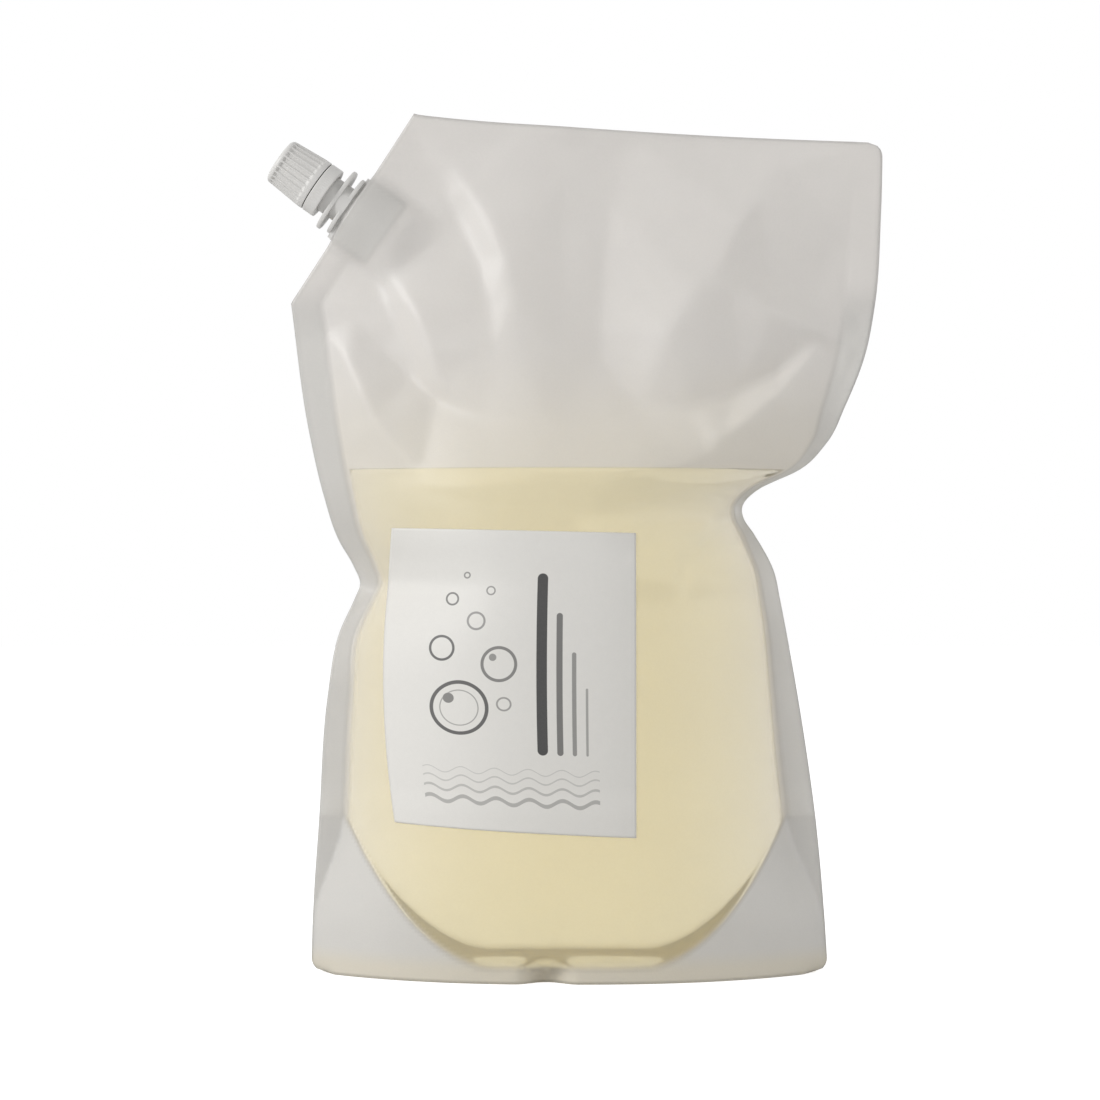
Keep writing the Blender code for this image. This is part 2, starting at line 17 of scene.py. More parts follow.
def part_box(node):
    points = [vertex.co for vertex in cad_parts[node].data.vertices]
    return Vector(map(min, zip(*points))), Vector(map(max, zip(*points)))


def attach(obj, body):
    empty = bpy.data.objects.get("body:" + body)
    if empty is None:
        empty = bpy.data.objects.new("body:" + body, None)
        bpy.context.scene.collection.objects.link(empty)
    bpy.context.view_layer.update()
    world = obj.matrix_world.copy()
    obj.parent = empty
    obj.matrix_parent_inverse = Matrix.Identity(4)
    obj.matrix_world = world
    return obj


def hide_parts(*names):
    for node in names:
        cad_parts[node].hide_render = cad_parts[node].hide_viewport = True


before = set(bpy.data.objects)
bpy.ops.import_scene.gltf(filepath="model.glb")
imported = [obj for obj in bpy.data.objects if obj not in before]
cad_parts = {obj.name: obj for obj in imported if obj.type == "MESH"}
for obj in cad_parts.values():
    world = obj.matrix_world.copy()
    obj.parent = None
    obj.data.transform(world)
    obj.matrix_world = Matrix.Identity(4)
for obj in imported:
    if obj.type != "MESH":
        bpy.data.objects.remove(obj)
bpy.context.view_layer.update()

# %% [markdown]
# ## Sizes
# All shapes are worked out in millimetres in the pouch's own frame: x = 0 on its centre line, y = 0 on the
# plane of its side seals, z = 0 on the floor. The frame's boxes say how far that frame is moved in the
# model, so nothing here is fitted by eye.

# %% Place of the pouch in the model
MM = 0.001
panel_low, panel_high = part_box("front_panel")
spout_low, spout_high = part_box("spout")
PACK_WIDTH = (panel_high.x - panel_low.x) / MM
PACK_HEIGHT = panel_high.z / MM
MOVE = np.array(((panel_low.x + panel_high.x) / 2, (spout_low.y + spout_high.y) / 2, 0.0)) / MM
print("pouch", round(PACK_WIDTH, 1), "x", round(PACK_HEIGHT, 1), "mm, moved by", MOVE.round(3))

# %% Sizes of the film, seals, base and soap
TOP_DROP, BULGE = 10.0, 37.97
FILM, CLEARANCE, LEAF_GAP = 0.2, 0.3, 0.4
SIDE_SEAL, CORNER_RADIUS = 9.5, 5.0
GUSSET_HEIGHT, BASE_SEAL, GUSSET_SAG = 54.0, 5.0, 8.0
ARC_START, ARC_POWER = 0.33, 1.75
SOAP_LEVEL = 173.0
INNER_SHARE = 0.9
FULL_POWER, LEAN_POWER = 2.5, 2.0

# %% Outline and fullness, as (share of the height, share of half the width, of the seal or of the bulge)
LEFT_EDGE = (
    (0.0, -0.931), (0.087, -0.923), (0.173, -0.906), (0.323, -0.876), (0.395, -0.839), (0.437, -0.786),
    (0.450, -0.772), (0.474, -0.795), (0.501, -0.839), (0.556, -0.891), (0.630, -0.940), (0.7790, -1.0),
)
RIGHT_EDGE = (
    (0.0, 0.812), (0.092, 0.795), (0.170, 0.774), (0.316, 0.714), (0.436, 0.651), (0.465, 0.635),
    (0.510, 0.570), (0.530, 0.535), (0.545, 0.535), (0.563, 0.587), (0.585, 0.721), (0.615, 0.809),
    (0.659, 0.872), (0.716, 0.937), (0.776, 0.972), (0.883, 0.993), (1.0, 1.0),
)
LEFT_SEAL = (
    (0.0, 0.9), (0.22, 0.9), (0.33, 0.8), (0.39, 0.62), (0.44, 0.66), (0.5, 0.85), (0.56, 1.0), (1.0, 1.0),
)
RIGHT_SEAL = (
    (0.0, 1.0), (0.26, 1.0), (0.34, 0.82), (0.4, 0.66), (0.48, 0.56), (0.54, 0.3), (0.6, 0.5), (0.65, 0.8),
    (0.7, 1.0), (1.0, 1.0),
)
FULLNESS = (
    (0.0, 0.95), (0.1, 0.99), (0.2, 1.0), (0.33, 0.97), (0.45, 0.9), (0.53, 0.84), (0.6, 0.74), (0.7, 0.53),
    (0.8, 0.3), (0.9, 0.11), (0.97, 0.0), (1.0, 0.0),
)
RIGHT_BUCKLE = (11.0, 0.54, 0.13)
LEFT_BUCKLE = (7.0, 0.45, 0.12)
TOP_WAVE = 3.0
FRONT_HOLLOW = (0.22, 0.12, 0.45, 0.72, 0.16)
BACK_HOLLOW = (0.2, -0.1, 0.5, 0.75, 0.16)

# %% Slanted corner and the spout's seat on it
SHOULDER_HEIGHT, SLANT_RUN, SEAT_ALONG = PACK_HEIGHT - 65.4, 42.4, 38.2
TILT = math.radians(35.0)
BOAT_LENGTH, BOAT_THICKNESS, BOAT_DEPTH, COVER_MARGIN = 25.0, 11.6, 15.0, 0.9
OUTWARD = np.array((-math.cos(TILT), math.sin(TILT)))
ACROSS = np.array((math.sin(TILT), math.cos(TILT)))
SHOULDER = np.array((-PACK_WIDTH / 2, SHOULDER_HEIGHT))
SLANT = np.array((SLANT_RUN, PACK_HEIGHT - SHOULDER_HEIGHT))
SEAT = SHOULDER + SLANT / np.linalg.norm(SLANT) * SEAT_ALONG
print("spout's seat at", SEAT.round(2))

# %% [markdown]
# ## Curves and steps
# Three small helpers make every soft shape below: a smooth curve through given points, a soft step and a
# soft bump. They take whole arrays, so a film of forty thousand points is one call.


# %% Helpers for soft shapes
def curve_through(points):
    """A smooth curve through the points, as a function that takes arrays."""
    at, value = np.array(points, float).T
    slope = np.gradient(value, at)

    def curve(x):
        x = np.clip(x, at[0], at[-1])
        k = np.clip(np.searchsorted(at, x, side="right") - 1, 0, len(at) - 2)
        span = at[k + 1] - at[k]
        s = (x - at[k]) / span
        rise = s * s * (3 - 2 * s)
        early = s * (1 - s) ** 2 * span * slope[k]
        late = s * s * (s - 1) * span * slope[k + 1]
        return value[k] * (1 - rise) + value[k + 1] * rise + early + late

    return curve


def smooth(x, low, high):
    """0 below low, 1 above high, and a soft step between them."""
    s = np.clip((x - low) / (high - low), 0.0, 1.0)
    return s * s * (3 - 2 * s)


def bump(x, middle, reach):
    """1 at the middle, fading to 0 at the reach on both sides."""
    return np.cos(np.clip((x - middle) / reach, -1.0, 1.0) * math.pi / 2) ** 2


left_share, right_share = curve_through(LEFT_EDGE), curve_through(RIGHT_EDGE)
left_seal_share, right_seal_share = curve_through(LEFT_SEAL), curve_through(RIGHT_SEAL)
fullness = curve_through(FULLNESS)

# %% [markdown]
# ## Folds
# A film doesn't stretch, so where a full belly meets flat seals it breaks into flat facets with sharp
# creases between them. A sculptor would pull such facets by hand. Here each crease is a short line of points
# with a height, a triangulation that keeps the crease lines as edges fills in the facets, and a
# slight blur rounds the creases. The result is a height map that is added to the film.

# %% Crease lines: (x, z, height) in millimetres, outwards from the front film
STILL = (
    ((-90.5, 221.3, 0.0), (-88.8, 206.4, 0.0), (-86.7, 191.5, 0.0), (-84.4, 179.6, 0.0), (-82.0, 170.8, 0.0)),
    ((79.9, 217.2, 0.0), (83.6, 211.8, 0.0), (82.6, 200.3, 0.0), (77.2, 186.0, 0.0), (72.1, 175.2, 0.0)),
    ((-82.0, 170.8, 0.0), (-56.6, 171.8, 0.0), (-29.5, 171.8, 0.0), (-2.4, 171.8, 0.0), (24.7, 171.8, 0.0),
     (48.4, 171.8, 0.0), (72.1, 175.2, 0.0)),
    ((-59.0, 293.4, 0.0), (-22.7, 290.0, 0.0), (17.9, 286.3, 0.0), (58.5, 284.9, 0.0), (95.5, 283.6, 0.0)),
    ((100.5, 275.5, 0.0), (99.5, 253.8, 0.0), (97.8, 230.1, 0.0), (95.1, 218.2, 0.0)),
    ((-59.0, 293.4, 0.0), (-68.5, 280.2, 0.0), (-76.9, 258.9, 0.0), (-93.9, 231.8, 0.0), (-100.6, 229.1, 0.0),
     (-98.9, 213.1, 0.0), (-95.5, 196.2, 0.0)),
)
UPPER_FOLDS = (
    ((9.8, 280.9, -0.4), (8.1, 263.9, -0.8), (6.2, 240.0, -1.2), (4.6, 219.9, -1.8), (5.0, 209.4, -2.2),
     (12.0, 200.5, -2.6), (19.3, 194.0, -3.0)),
    ((67.0, 277.5, 0.8), (59.6, 267.3, 2.0), (52.5, 257.8, 3.0), (46.0, 244.3, 3.8), (36.9, 233.5, 3.6),
     (28.0, 219.6, 2.4), (23.0, 207.0, 0.0), (19.3, 194.0, -3.0)),
    ((-77.0, 246.0, -0.6), (-70.5, 235.0, -1.4), (-64.5, 222.0, -1.9), (-59.5, 211.0, -2.1),
     (-54.5, 201.5, -2.4)),
    ((-71.5, 249.0, 0.4), (-64.8, 238.0, 1.3), (-58.6, 225.0, 1.6), (-54.0, 213.0, 1.0), (-51.5, 203.5, -0.8)),
    ((-55.5, 280.0, -0.3), (-48.1, 267.7, -0.9), (-42.2, 256.1, -1.2), (-37.4, 245.0, -1.2),
     (-34.6, 231.1, -0.9), (-32.0, 214.8, -0.6)),
    ((-47.5, 279.2, 0.4), (-39.7, 267.7, 1.2), (-33.1, 256.1, 1.6), (-27.8, 245.0, 1.5), (-24.8, 231.1, 0.8),
     (-23.4, 214.8, -0.4)),
    ((-89.8, 220.6, 0.0), (-82.0, 209.4, 2.2), (-77.6, 199.9, 3.0), (-72.9, 188.4, 2.6), (-69.1, 174.5, 0.6)),
    ((-80.3, 224.0, -1.0), (-70.0, 214.5, -2.2), (-61.0, 205.0, -3.0), (-52.0, 198.0, -3.2),
     (-36.0, 190.0, -2.4), (-14.0, 188.0, -1.6), (8.0, 190.0, -2.0), (19.3, 194.0, -3.0), (36.0, 194.0, -2.6),
     (51.8, 199.0, -3.2), (65.3, 206.4, -2.8), (74.1, 213.5, -1.4), (79.9, 217.2, 0.0)),
    ((46.0, 244.3, 3.8), (62.0, 238.5, 0.6), (77.0, 233.0, -0.5), (94.4, 226.0, -0.4)),
    ((50.0, 235.5, 3.0), (64.0, 226.5, 2.2), (77.0, 221.5, 1.6), (91.0, 213.0, 0.6)),
    ((79.9, 217.2, 0.0), (74.1, 210.5, 1.4), (64.6, 199.2, 2.2), (55.2, 191.0, 2.3), (45.7, 184.0, 1.7),
     (40.3, 176.6, 0.4)),
    ((73.8, 272.4, 0.4),), ((89.0, 255.0, 0.0),), ((-8.0, 272.0, -0.4),), ((-8.0, 240.0, -0.8),),
    ((-10.0, 212.0, -1.2),),
)
LOWER_FOLDS = (
    ((50.6, 159.5, -0.8), (42.5, 150.8, -1.8), (36.1, 144.4, -2.2), (32.4, 140.0, -0.8)),
    ((45.2, 158.2, 0.8), (37.8, 150.4, 1.0), (29.7, 143.4, 0.8), (37.8, 138.0, 0.8), (44.5, 144.7, 0.6)),
    ((-39.4, 162.2, -1.0), (-15.9, 160.2, -0.9), (7.6, 158.2, -1.4), (21.0, 152.8, -1.1)),
    ((-62.0, 150.0, 0.0), (-30.0, 148.0, 0.0), (10.0, 140.0, 0.0), (30.0, 125.0, 0.0), (60.0, 130.0, 0.0)),
    ((58.0, 168.0, 0.0), (56.0, 150.0, 0.0)), ((-66.0, 168.0, 0.0),),
)
# Leans of both films together, towards the back, where the side seals are pinched at the waist
PINCHES = (
    ((-80.5, 134.0, 3.5), (-71.9, 130.9, 1.2), (-63.6, 128.2, 0.0)),
    ((-83.3, 143.3, 0.4), (-86.1, 148.2, 0.0), (-88.5, 155.8, 0.0)),
    ((-81.6, 126.8, 0.3), (-84.3, 120.6, 0.0), (-86.1, 116.8, 0.0)),
    ((55.0, 158.9, 5.0), (51.3, 155.8, 2.2), (43.3, 150.2, 0.2)),
    ((66.1, 169.2, 0.4), (78.9, 176.4, 0.0)), ((62.3, 144.7, 0.4), (66.8, 129.2, 0.0)),
    ((-60.0, 150.0, 0.0), (-60.0, 110.0, 0.0)), ((36.0, 170.0, 0.0), (36.0, 130.0, 0.0)),
    ((-100.0, 165.0, 0.0), (-100.0, 110.0, 0.0)), ((90.0, 185.0, 0.0), (90.0, 120.0, 0.0)),
)


# %% Turn crease lines into a height map
MAP_STEP = 0.5
MAP_LOW = np.array((-110.0, 0.0))
MAP_SIZE = (441, 601)


def blurred(field, width):
    """The map with each crease rounded over about this many cells."""
    reach = np.arange(-3 * width, 3 * width + 1)
    weights = np.exp(-0.5 * (reach / width) ** 2)
    weights /= weights.sum()
    for axis in (0, 1):
        pad = [(0, 0), (0, 0)]
        pad[axis] = (len(reach) // 2,) * 2
        wide = np.pad(field, pad, mode="edge")
        count = field.shape[axis]
        field = sum(w * np.take(wide, range(k, k + count), axis) for k, w in enumerate(weights))
    return field


def height_map(lines, width=2):
    """Fills the facets between the crease lines, as a function of arrays of x and z."""
    points, edges, heights = [], [], {}
    for line in lines:
        start = len(points)
        points += [Vector(p[:2]) for p in line]
        edges += [(start + k, start + k + 1) for k in range(len(line) - 1)]
    values = [p[2] for line in lines for p in line]
    made, _, facets, sources, *_ = delaunay_2d_cdt(points, edges, [], 0, 1e-4)
    spot = np.array([p[:] for p in made])
    value = np.array([np.mean([values[s] for s in source]) if source else np.nan for source in sources])
    for k in np.flatnonzero(np.isnan(value)):
        near = np.argsort(np.sum((spot - spot[k]) ** 2, axis=1))[1:4]
        value[k] = np.nanmean(value[near])
    field = np.zeros(MAP_SIZE)
    for facet in facets:
        a, b, c = spot[list(facet)]
        low = np.maximum(np.floor((np.minimum(np.minimum(a, b), c) - MAP_LOW) / MAP_STEP).astype(int), 0)
        high = np.ceil((np.maximum(np.maximum(a, b), c) - MAP_LOW) / MAP_STEP).astype(int) + 1
        i, j = np.meshgrid(np.arange(low[0], high[0]), np.arange(low[1], high[1]), indexing="ij")
        x, z = MAP_LOW[0] + i * MAP_STEP, MAP_LOW[1] + j * MAP_STEP
        size = (b[0] - a[0]) * (c[1] - a[1]) - (c[0] - a[0]) * (b[1] - a[1])
        if abs(size) < 1e-9:
            continue
        p = ((x - a[0]) * (c[1] - a[1]) - (c[0] - a[0]) * (z - a[1])) / size
        q = ((b[0] - a[0]) * (z - a[1]) - (x - a[0]) * (b[1] - a[1])) / size
        inside = (p >= -1e-6) & (q >= -1e-6) & (p + q <= 1 + 1e-6)
        level = value[facet[0]] * (1 - p - q) + value[facet[1]] * p + value[facet[2]] * q
        field[i[inside], j[inside]] = level[inside]
    field = blurred(field, width)

    def height(x, z):
        i = np.clip((x - MAP_LOW[0]) / MAP_STEP, 0, MAP_SIZE[0] - 1.001)
        j = np.clip((z - MAP_LOW[1]) / MAP_STEP, 0, MAP_SIZE[1] - 1.001)
        a, b = i.astype(int), j.astype(int)
        s, t = i - a, j - b
        low = field[a, b] * (1 - s) + field[a + 1, b] * s
        high = field[a, b + 1] * (1 - s) + field[a + 1, b + 1] * s
        return low * (1 - t) + high * t

    return height


upper_folds = height_map(STILL + UPPER_FOLDS, 3)
lower_folds = height_map(LOWER_FOLDS)
pinches = height_map(PINCHES)
print("folds", len(UPPER_FOLDS) + len(LOWER_FOLDS), "pinches", len(PINCHES))

# %% [markdown]
# ## The pouch's surface
# One function gives a point of the front or back film for each column u (-1 and 1 on the edges) and height
# z. Everything else follows from it: the soap lies just inside it, the base film hangs from it and the label
# lies on it. That is how the real thing is made too: the film is the only shape, and the rest fits it.


# %% Outline of the pouch
def left_edge(z):
    """x of the pouch's left edge: the curved side, then the slanted corner."""
    side = left_share(z / PACK_HEIGHT) * PACK_WIDTH / 2
    slant = SHOULDER[0] + (z - SHOULDER_HEIGHT) * SLANT[0] / SLANT[1]
    return np.where(z > SHOULDER_HEIGHT, slant, side)


def right_edge(z):
    return right_share(z / PACK_HEIGHT) * PACK_WIDTH / 2


def round_corner(distance):
    """How far a rounded corner cuts in, at this distance from its straight edge."""
    lack = np.clip(CORNER_RADIUS - distance, 0.0, CORNER_RADIUS)
    return CORNER_RADIUS - np.sqrt(CORNER_RADIUS**2 - lack**2)


def place(u, z):
    """(x, t) of column u; t is -1 and 1 on the side seals' inner lines."""
    left, right = left_edge(z), right_edge(z)
    share = z / PACK_HEIGHT
    left_seal, right_seal = SIDE_SEAL * left_seal_share(share), SIDE_SEAL * right_seal_share(share)
    inner_left, inner_right = left + left_seal, right - right_seal
    t = u / INNER_SHARE
    inside = inner_left + (t + 1) / 2 * (inner_right - inner_left)
    out = (np.abs(u) - INNER_SHARE) / (1 - INNER_SHARE)
    outside_left = inner_left - out * (left_seal - round_corner(z))
    top_right = round_corner(PACK_HEIGHT - TOP_DROP - z)
    outside_right = inner_right + out * (right_seal - round_corner(z) - top_right)
    return np.where(t < -1, outside_left, np.where(t > 1, outside_right, inside)), t


# %% Where the films stay straight round the spout, and where they lean together
def boat_cover(x, z):
    """Half the thickness that the film needs where it wraps the spout's weld base."""
    across = (x - SEAT[0]) * ACROSS[0] + (z - SEAT[1]) * ACROSS[1]
    inward = -(x - SEAT[0]) * OUTWARD[0] - (z - SEAT[1]) * OUTWARD[1]
    lens = np.clip(1 - (across / (BOAT_LENGTH / 2 + 2.5)) ** 2, 0.0, 1.0)
    end = 1 - smooth(inward, BOAT_DEPTH + 2, BOAT_DEPTH + 22)
    return (BOAT_THICKNESS / 2 + COVER_MARGIN) * lens * end


def boat_zone(u, share):
    """1 round the spout, where the films stay straight, and 0 elsewhere."""
    return (1 - smooth(u, -0.62, -0.3)) * smooth(share, 0.74, 0.8)


def sway(u, z, x):
    """How far both films lean to the back, as the seals buckle at the waist and the flat top waves."""
    share = z / PACK_HEIGHT
    right = RIGHT_BUCKLE[0] * bump(share, *RIGHT_BUCKLE[1:]) * smooth(u, 0.2, 1.0)
    left = LEFT_BUCKLE[0] * bump(share, *LEFT_BUCKLE[1:]) * smooth(-u, 0.3, 1.0)
    top = TOP_WAVE * np.sin(2.6 * u + 0.5) * smooth(share, 0.6, 0.95) * (1 - boat_zone(u, share))
    return right + left + top + pinches(x, z)


# %% One point of the film
FOLD_DEPTH = 1.8
NOTCH = (0.2, -14.0, 11.0, 9.0)


def film_point(side, u, z):
    """The middle of the front (side -1) or back (side 1) film, as an array of points."""
    x, t = place(u, z)
    share = z / PACK_HEIGHT
    gusset_leaves = 1 - smooth(z, GUSSET_HEIGHT + 2, GUSSET_HEIGHT + 12)
    seal = CLEARANCE / 2 + FILM / 2 + (FILM + LEAF_GAP) * gusset_leaves
    power = FULL_POWER + (LEAN_POWER - FULL_POWER) * smooth(share, 0.45, 0.7)
    reach = 1 - (1 - INNER_SHARE) * smooth(z, GUSSET_HEIGHT * 0.25, GUSSET_HEIGHT)
    lens = 1 - np.clip(np.abs(u) / reach, 0.0, 1.0) ** power
    amount, across, width, up, reach_up = FRONT_HOLLOW if side < 0 else BACK_HOLLOW
    hollow = amount * bump(t, across, width) * bump(share, up, reach_up)
    depth = BULGE * fullness(share) * lens * (1 - hollow)
    if side < 0:
        depth = depth * (1 - NOTCH[0] * bump(x, *NOTCH[1:3]) * (1 - smooth(z, 2.0, NOTCH[3])))
    cover = boat_cover(x, z)
    free = 1 - np.clip(cover / 3.0, 0.0, 1.0)
    near = 1 - smooth(depth, 2.0, 9.0)
    fold = FOLD_DEPTH * upper_folds(x, z) * free
    if side < 0:
        fold = fold + lower_folds(x, z)
        y = -seal - np.sqrt(depth**2 + cover**2) - fold
    else:
        back = FOLD_DEPTH * upper_folds(x * 0.96 + 7.0, z - 5.0) * free * (1 - near) * smooth(depth, 4.0, 12.0)
        y = seal + np.sqrt(depth**2 + cover**2) - fold * near + 0.8 * back
    return np.stack([x, y + sway(u, z, x), z], axis=-1)


def film_normal(side, u, z):
    """The film's outward normal, from points a little to each side."""
    step_u, step_z = 0.004, 0.5
    low, high = np.maximum(z - step_z, 0.0), np.minimum(z + step_z, PACK_HEIGHT)
    along_u = film_point(side, u + step_u, z) - film_point(side, u - step_u, z)
    along_z = film_point(side, u, high) - film_point(side, u, low)
    normal = np.cross(along_u, along_z)
    normal /= np.linalg.norm(normal, axis=-1, keepdims=True)
    return normal * np.sign(side * normal[..., 1:2])


def inside_film(side, u, z, inset):
    """Points this far inside the film, moved level so that each keeps its height."""
    level = film_normal(side, u, z) * (1.0, 1.0, 0.0)
    return film_point(side, u, z) - level * inset / np.sum(level**2, axis=-1, keepdims=True)


# %% [markdown]
# ## Meshes
# Each film becomes a closed thin solid: a grid of points moved half a film's thickness to both sides, with a
# rim round its edge. Numbers that a material needs later, such as where the film is sealed or wet, are
# stored on the mesh as attributes.


# %% Helpers that make a mesh
def mesh_object(name, points, faces, masks=None):
    """A smooth-shaded object from points in the pouch's frame, in millimetres."""
    mesh = bpy.data.meshes.new(name)
    mesh.from_pydata(((np.asarray(points, float) + MOVE) * MM).tolist(), [], faces)
    for mask, values in (masks or {}).items():
        mesh.attributes.new(mask, "FLOAT", "POINT").data.foreach_set("value", np.asarray(values, np.float32))
    build = bmesh.new()
    build.from_mesh(mesh)
    bmesh.ops.recalc_face_normals(build, faces=build.faces)
    build.to_mesh(mesh)
    build.free()
    mesh.shade_smooth()
    obj = bpy.data.objects.new(name, mesh)
    bpy.context.scene.collection.objects.link(obj)
    return obj


def sheet(name, grid, thickness, masks=None):
    """A closed thin solid whose middle is the grid of points. The masks are grids of the same shape."""
    rows, cols = grid.shape[:2]
    normal = np.cross(np.gradient(grid, axis=1), np.gradient(grid, axis=0))
    normal /= np.linalg.norm(normal, axis=-1, keepdims=True)
    outer = (grid + normal * thickness / 2).reshape(-1, 3)
    inner = (grid - normal * thickness / 2).reshape(-1, 3)
    for side in (outer, inner):
        side[:, 2] = np.maximum(side[:, 2], 0.0)
    index = np.arange(rows * cols).reshape(rows, cols)
    corners = [index[:-1, :-1], index[:-1, 1:], index[1:, 1:], index[1:, :-1]]
    quads = np.stack(corners, axis=-1).reshape(-1, 4)
    rim = np.concatenate([index[0, :-1], index[:-1, -1], index[-1, :0:-1], index[:0:-1, 0]])
    follow = np.roll(rim, -1)
    side = np.stack([follow, rim, rim + rows * cols, follow + rows * cols], axis=-1)
    faces = np.concatenate([quads, quads[:, ::-1] + rows * cols, side]).tolist()
    twice = {mask: np.tile(np.ravel(values), 2) for mask, values in (masks or {}).items()}
    return mesh_object(name, np.concatenate([outer, inner]), faces, twice)


# %% [markdown]
# ## Front and back film
# The grid is about 1.2 mm wide, fine enough for a crease and coarse enough to stay light. The rows are spread
# evenly; at the soap's level the wet film turns clearer along a sharp line.


# %% Arc of the base seal
def arc_height(u):
    """Height of the base seal's curved inner line: low in the middle, as high as the gusset at the sides."""
    t = np.clip(np.abs(u) / INNER_SHARE, 0.0, 1.0)
    rise = np.clip((t - ARC_START) / (1 - ARC_START), 0.0, 1.0) ** ARC_POWER
    return BASE_SEAL + (GUSSET_HEIGHT - BASE_SEAL) * rise


# %% Grid of a film and its masks
COLUMNS = np.concatenate([
    np.linspace(-1.0, -INNER_SHARE, 10)[:-1], np.linspace(-INNER_SHARE, INNER_SHARE, 151),
    np.linspace(INNER_SHARE, 1.0, 10)[1:],
])
ROWS = np.linspace(0.0, 1.0, 240)


def weld_mask(x, z):
    """1 where the film is welded to the spout's base."""
    across = (x - SEAT[0]) * ACROSS[0] + (z - SEAT[1]) * ACROSS[1]
    inward = -(x - SEAT[0]) * OUTWARD[0] - (z - SEAT[1]) * OUTWARD[1]
    beside = 1 - smooth(np.abs(across), BOAT_LENGTH / 2 - 1.5, BOAT_LENGTH / 2 + 1.0)
    return 0.8 * beside * (1 - smooth(inward, BOAT_DEPTH - 1.5, BOAT_DEPTH + 1.0))


def panel(name, side):
    """The front or back film, with masks for its seals and for where soap wets it."""
    u, v = np.meshgrid(COLUMNS, ROWS)
    drop = TOP_DROP * ((u + 1) / 2) ** 0.7 * smooth(v, SOAP_LEVEL / PACK_HEIGHT + 0.04, 1.0)
    z = v * (PACK_HEIGHT - drop)
    t = np.abs(u) / INNER_SHARE
    low = 1 - smooth(z, 215.0, 240.0)
    seal = np.maximum(smooth(t, 0.99, 1.02) * low, 1 - smooth(z - arc_height(u), -1.6, 1.2))
    seal = np.maximum(seal, weld_mask(place(u, z)[0], z))
    wet = (1 - smooth(t, 0.965, 0.985)) * smooth(z - arc_height(u), -0.4, 2.6)
    down = PACK_HEIGHT - drop - z
    # The edge mask marks the film's cut outline, where the film's material paints a darker shade line.
    edge = np.maximum(smooth(np.abs(u), 0.985, 1.0), 1 - smooth(np.minimum(down, z), 0.2, 1.4))
    return sheet(name, film_point(side, u, z), FILM, {"seal": seal, "wet": wet, "edge": edge})


front = panel("film_front", -1)
back = panel("film_back", 1)
print("front film", len(front.data.polygons), "faces")

# %% [markdown]
# ## Folded base
# The base is a third film, folded inwards and welded to the front and back along a curved line. Its two
# leaves lie against the panels, and the web between them is pressed flat on the floor by the soap.


# %% Base film
def floor_height(u):
    """Height of the gusset along its middle fold: flat on the floor, then rising with the arc."""
    t = np.clip(np.abs(u) / INNER_SHARE, 0.0, 1.0)
    sag = GUSSET_SAG * (1 - smooth(t, 0.85, 1.0))
    return np.maximum(arc_height(u) - sag, FILM / 2)


def leaf_point(side, u, share):
    """The gusset's leaf on one side, inside the film, at a share of the way up to the arc."""
    z = arc_height(u) * share
    return film_point(side, u, z) - film_normal(side, u, z) * (FILM + LEAF_GAP)


def web_point(side, u, share):
    """The gusset's web on one side, from the middle fold (0) to the arc (1)."""
    arc, floor = arc_height(u), floor_height(u)
    middle = sway(u, arc, place(u, arc)[0])
    start = leaf_point(side, u, 1.0)
    height = floor + (arc - floor) * np.clip((share - 0.6) / 0.4, 0.0, 1.0) ** 2
    x = place(u, height)[0] + (start[..., 0] - place(u, arc)[0]) * share
    return np.stack([x, middle + (start[..., 1] - middle) * share, height], axis=-1)


def gusset_half(side):
    leaf = [leaf_point(side, COLUMNS, share) for share in np.linspace(0.0, 1.0, 26)[:-1]]
    lift = CLEARANCE / np.maximum(leaf[1][:, 2], 2 * CLEARANCE)
    leaf[0] = leaf[0] + (leaf[1] - leaf[0]) * lift[:, None]
    return leaf + [web_point(side, COLUMNS, share) for share in np.linspace(1.0, 0.0, 27)[:-1]]


grid = np.stack(gusset_half(-1) + [web_point(-1, COLUMNS, 0.0)] + gusset_half(1)[::-1])
across = np.abs(np.linspace(-1.0, 1.0, len(grid)))[:, None] * np.ones(len(COLUMNS))
masks = {"seal": smooth(across, 0.5, 0.52), "wet": 1 - smooth(across, 0.48, 0.5), "edge": 0 * across}
gusset = sheet("film_base", grid, FILM, masks)
print("base film", len(gusset.data.polygons), "faces")

# %% [markdown]
# ## Soap
# The soap is a closed body just inside the films. Its top is flat, with a thin rim that climbs the film all
# round, which is what draws the level line in the photograph. The film's material also paints a thin dark
# shade line along that level.


# %% Body of the soap
SOAP_INSET = FILM / 2 + 0.2


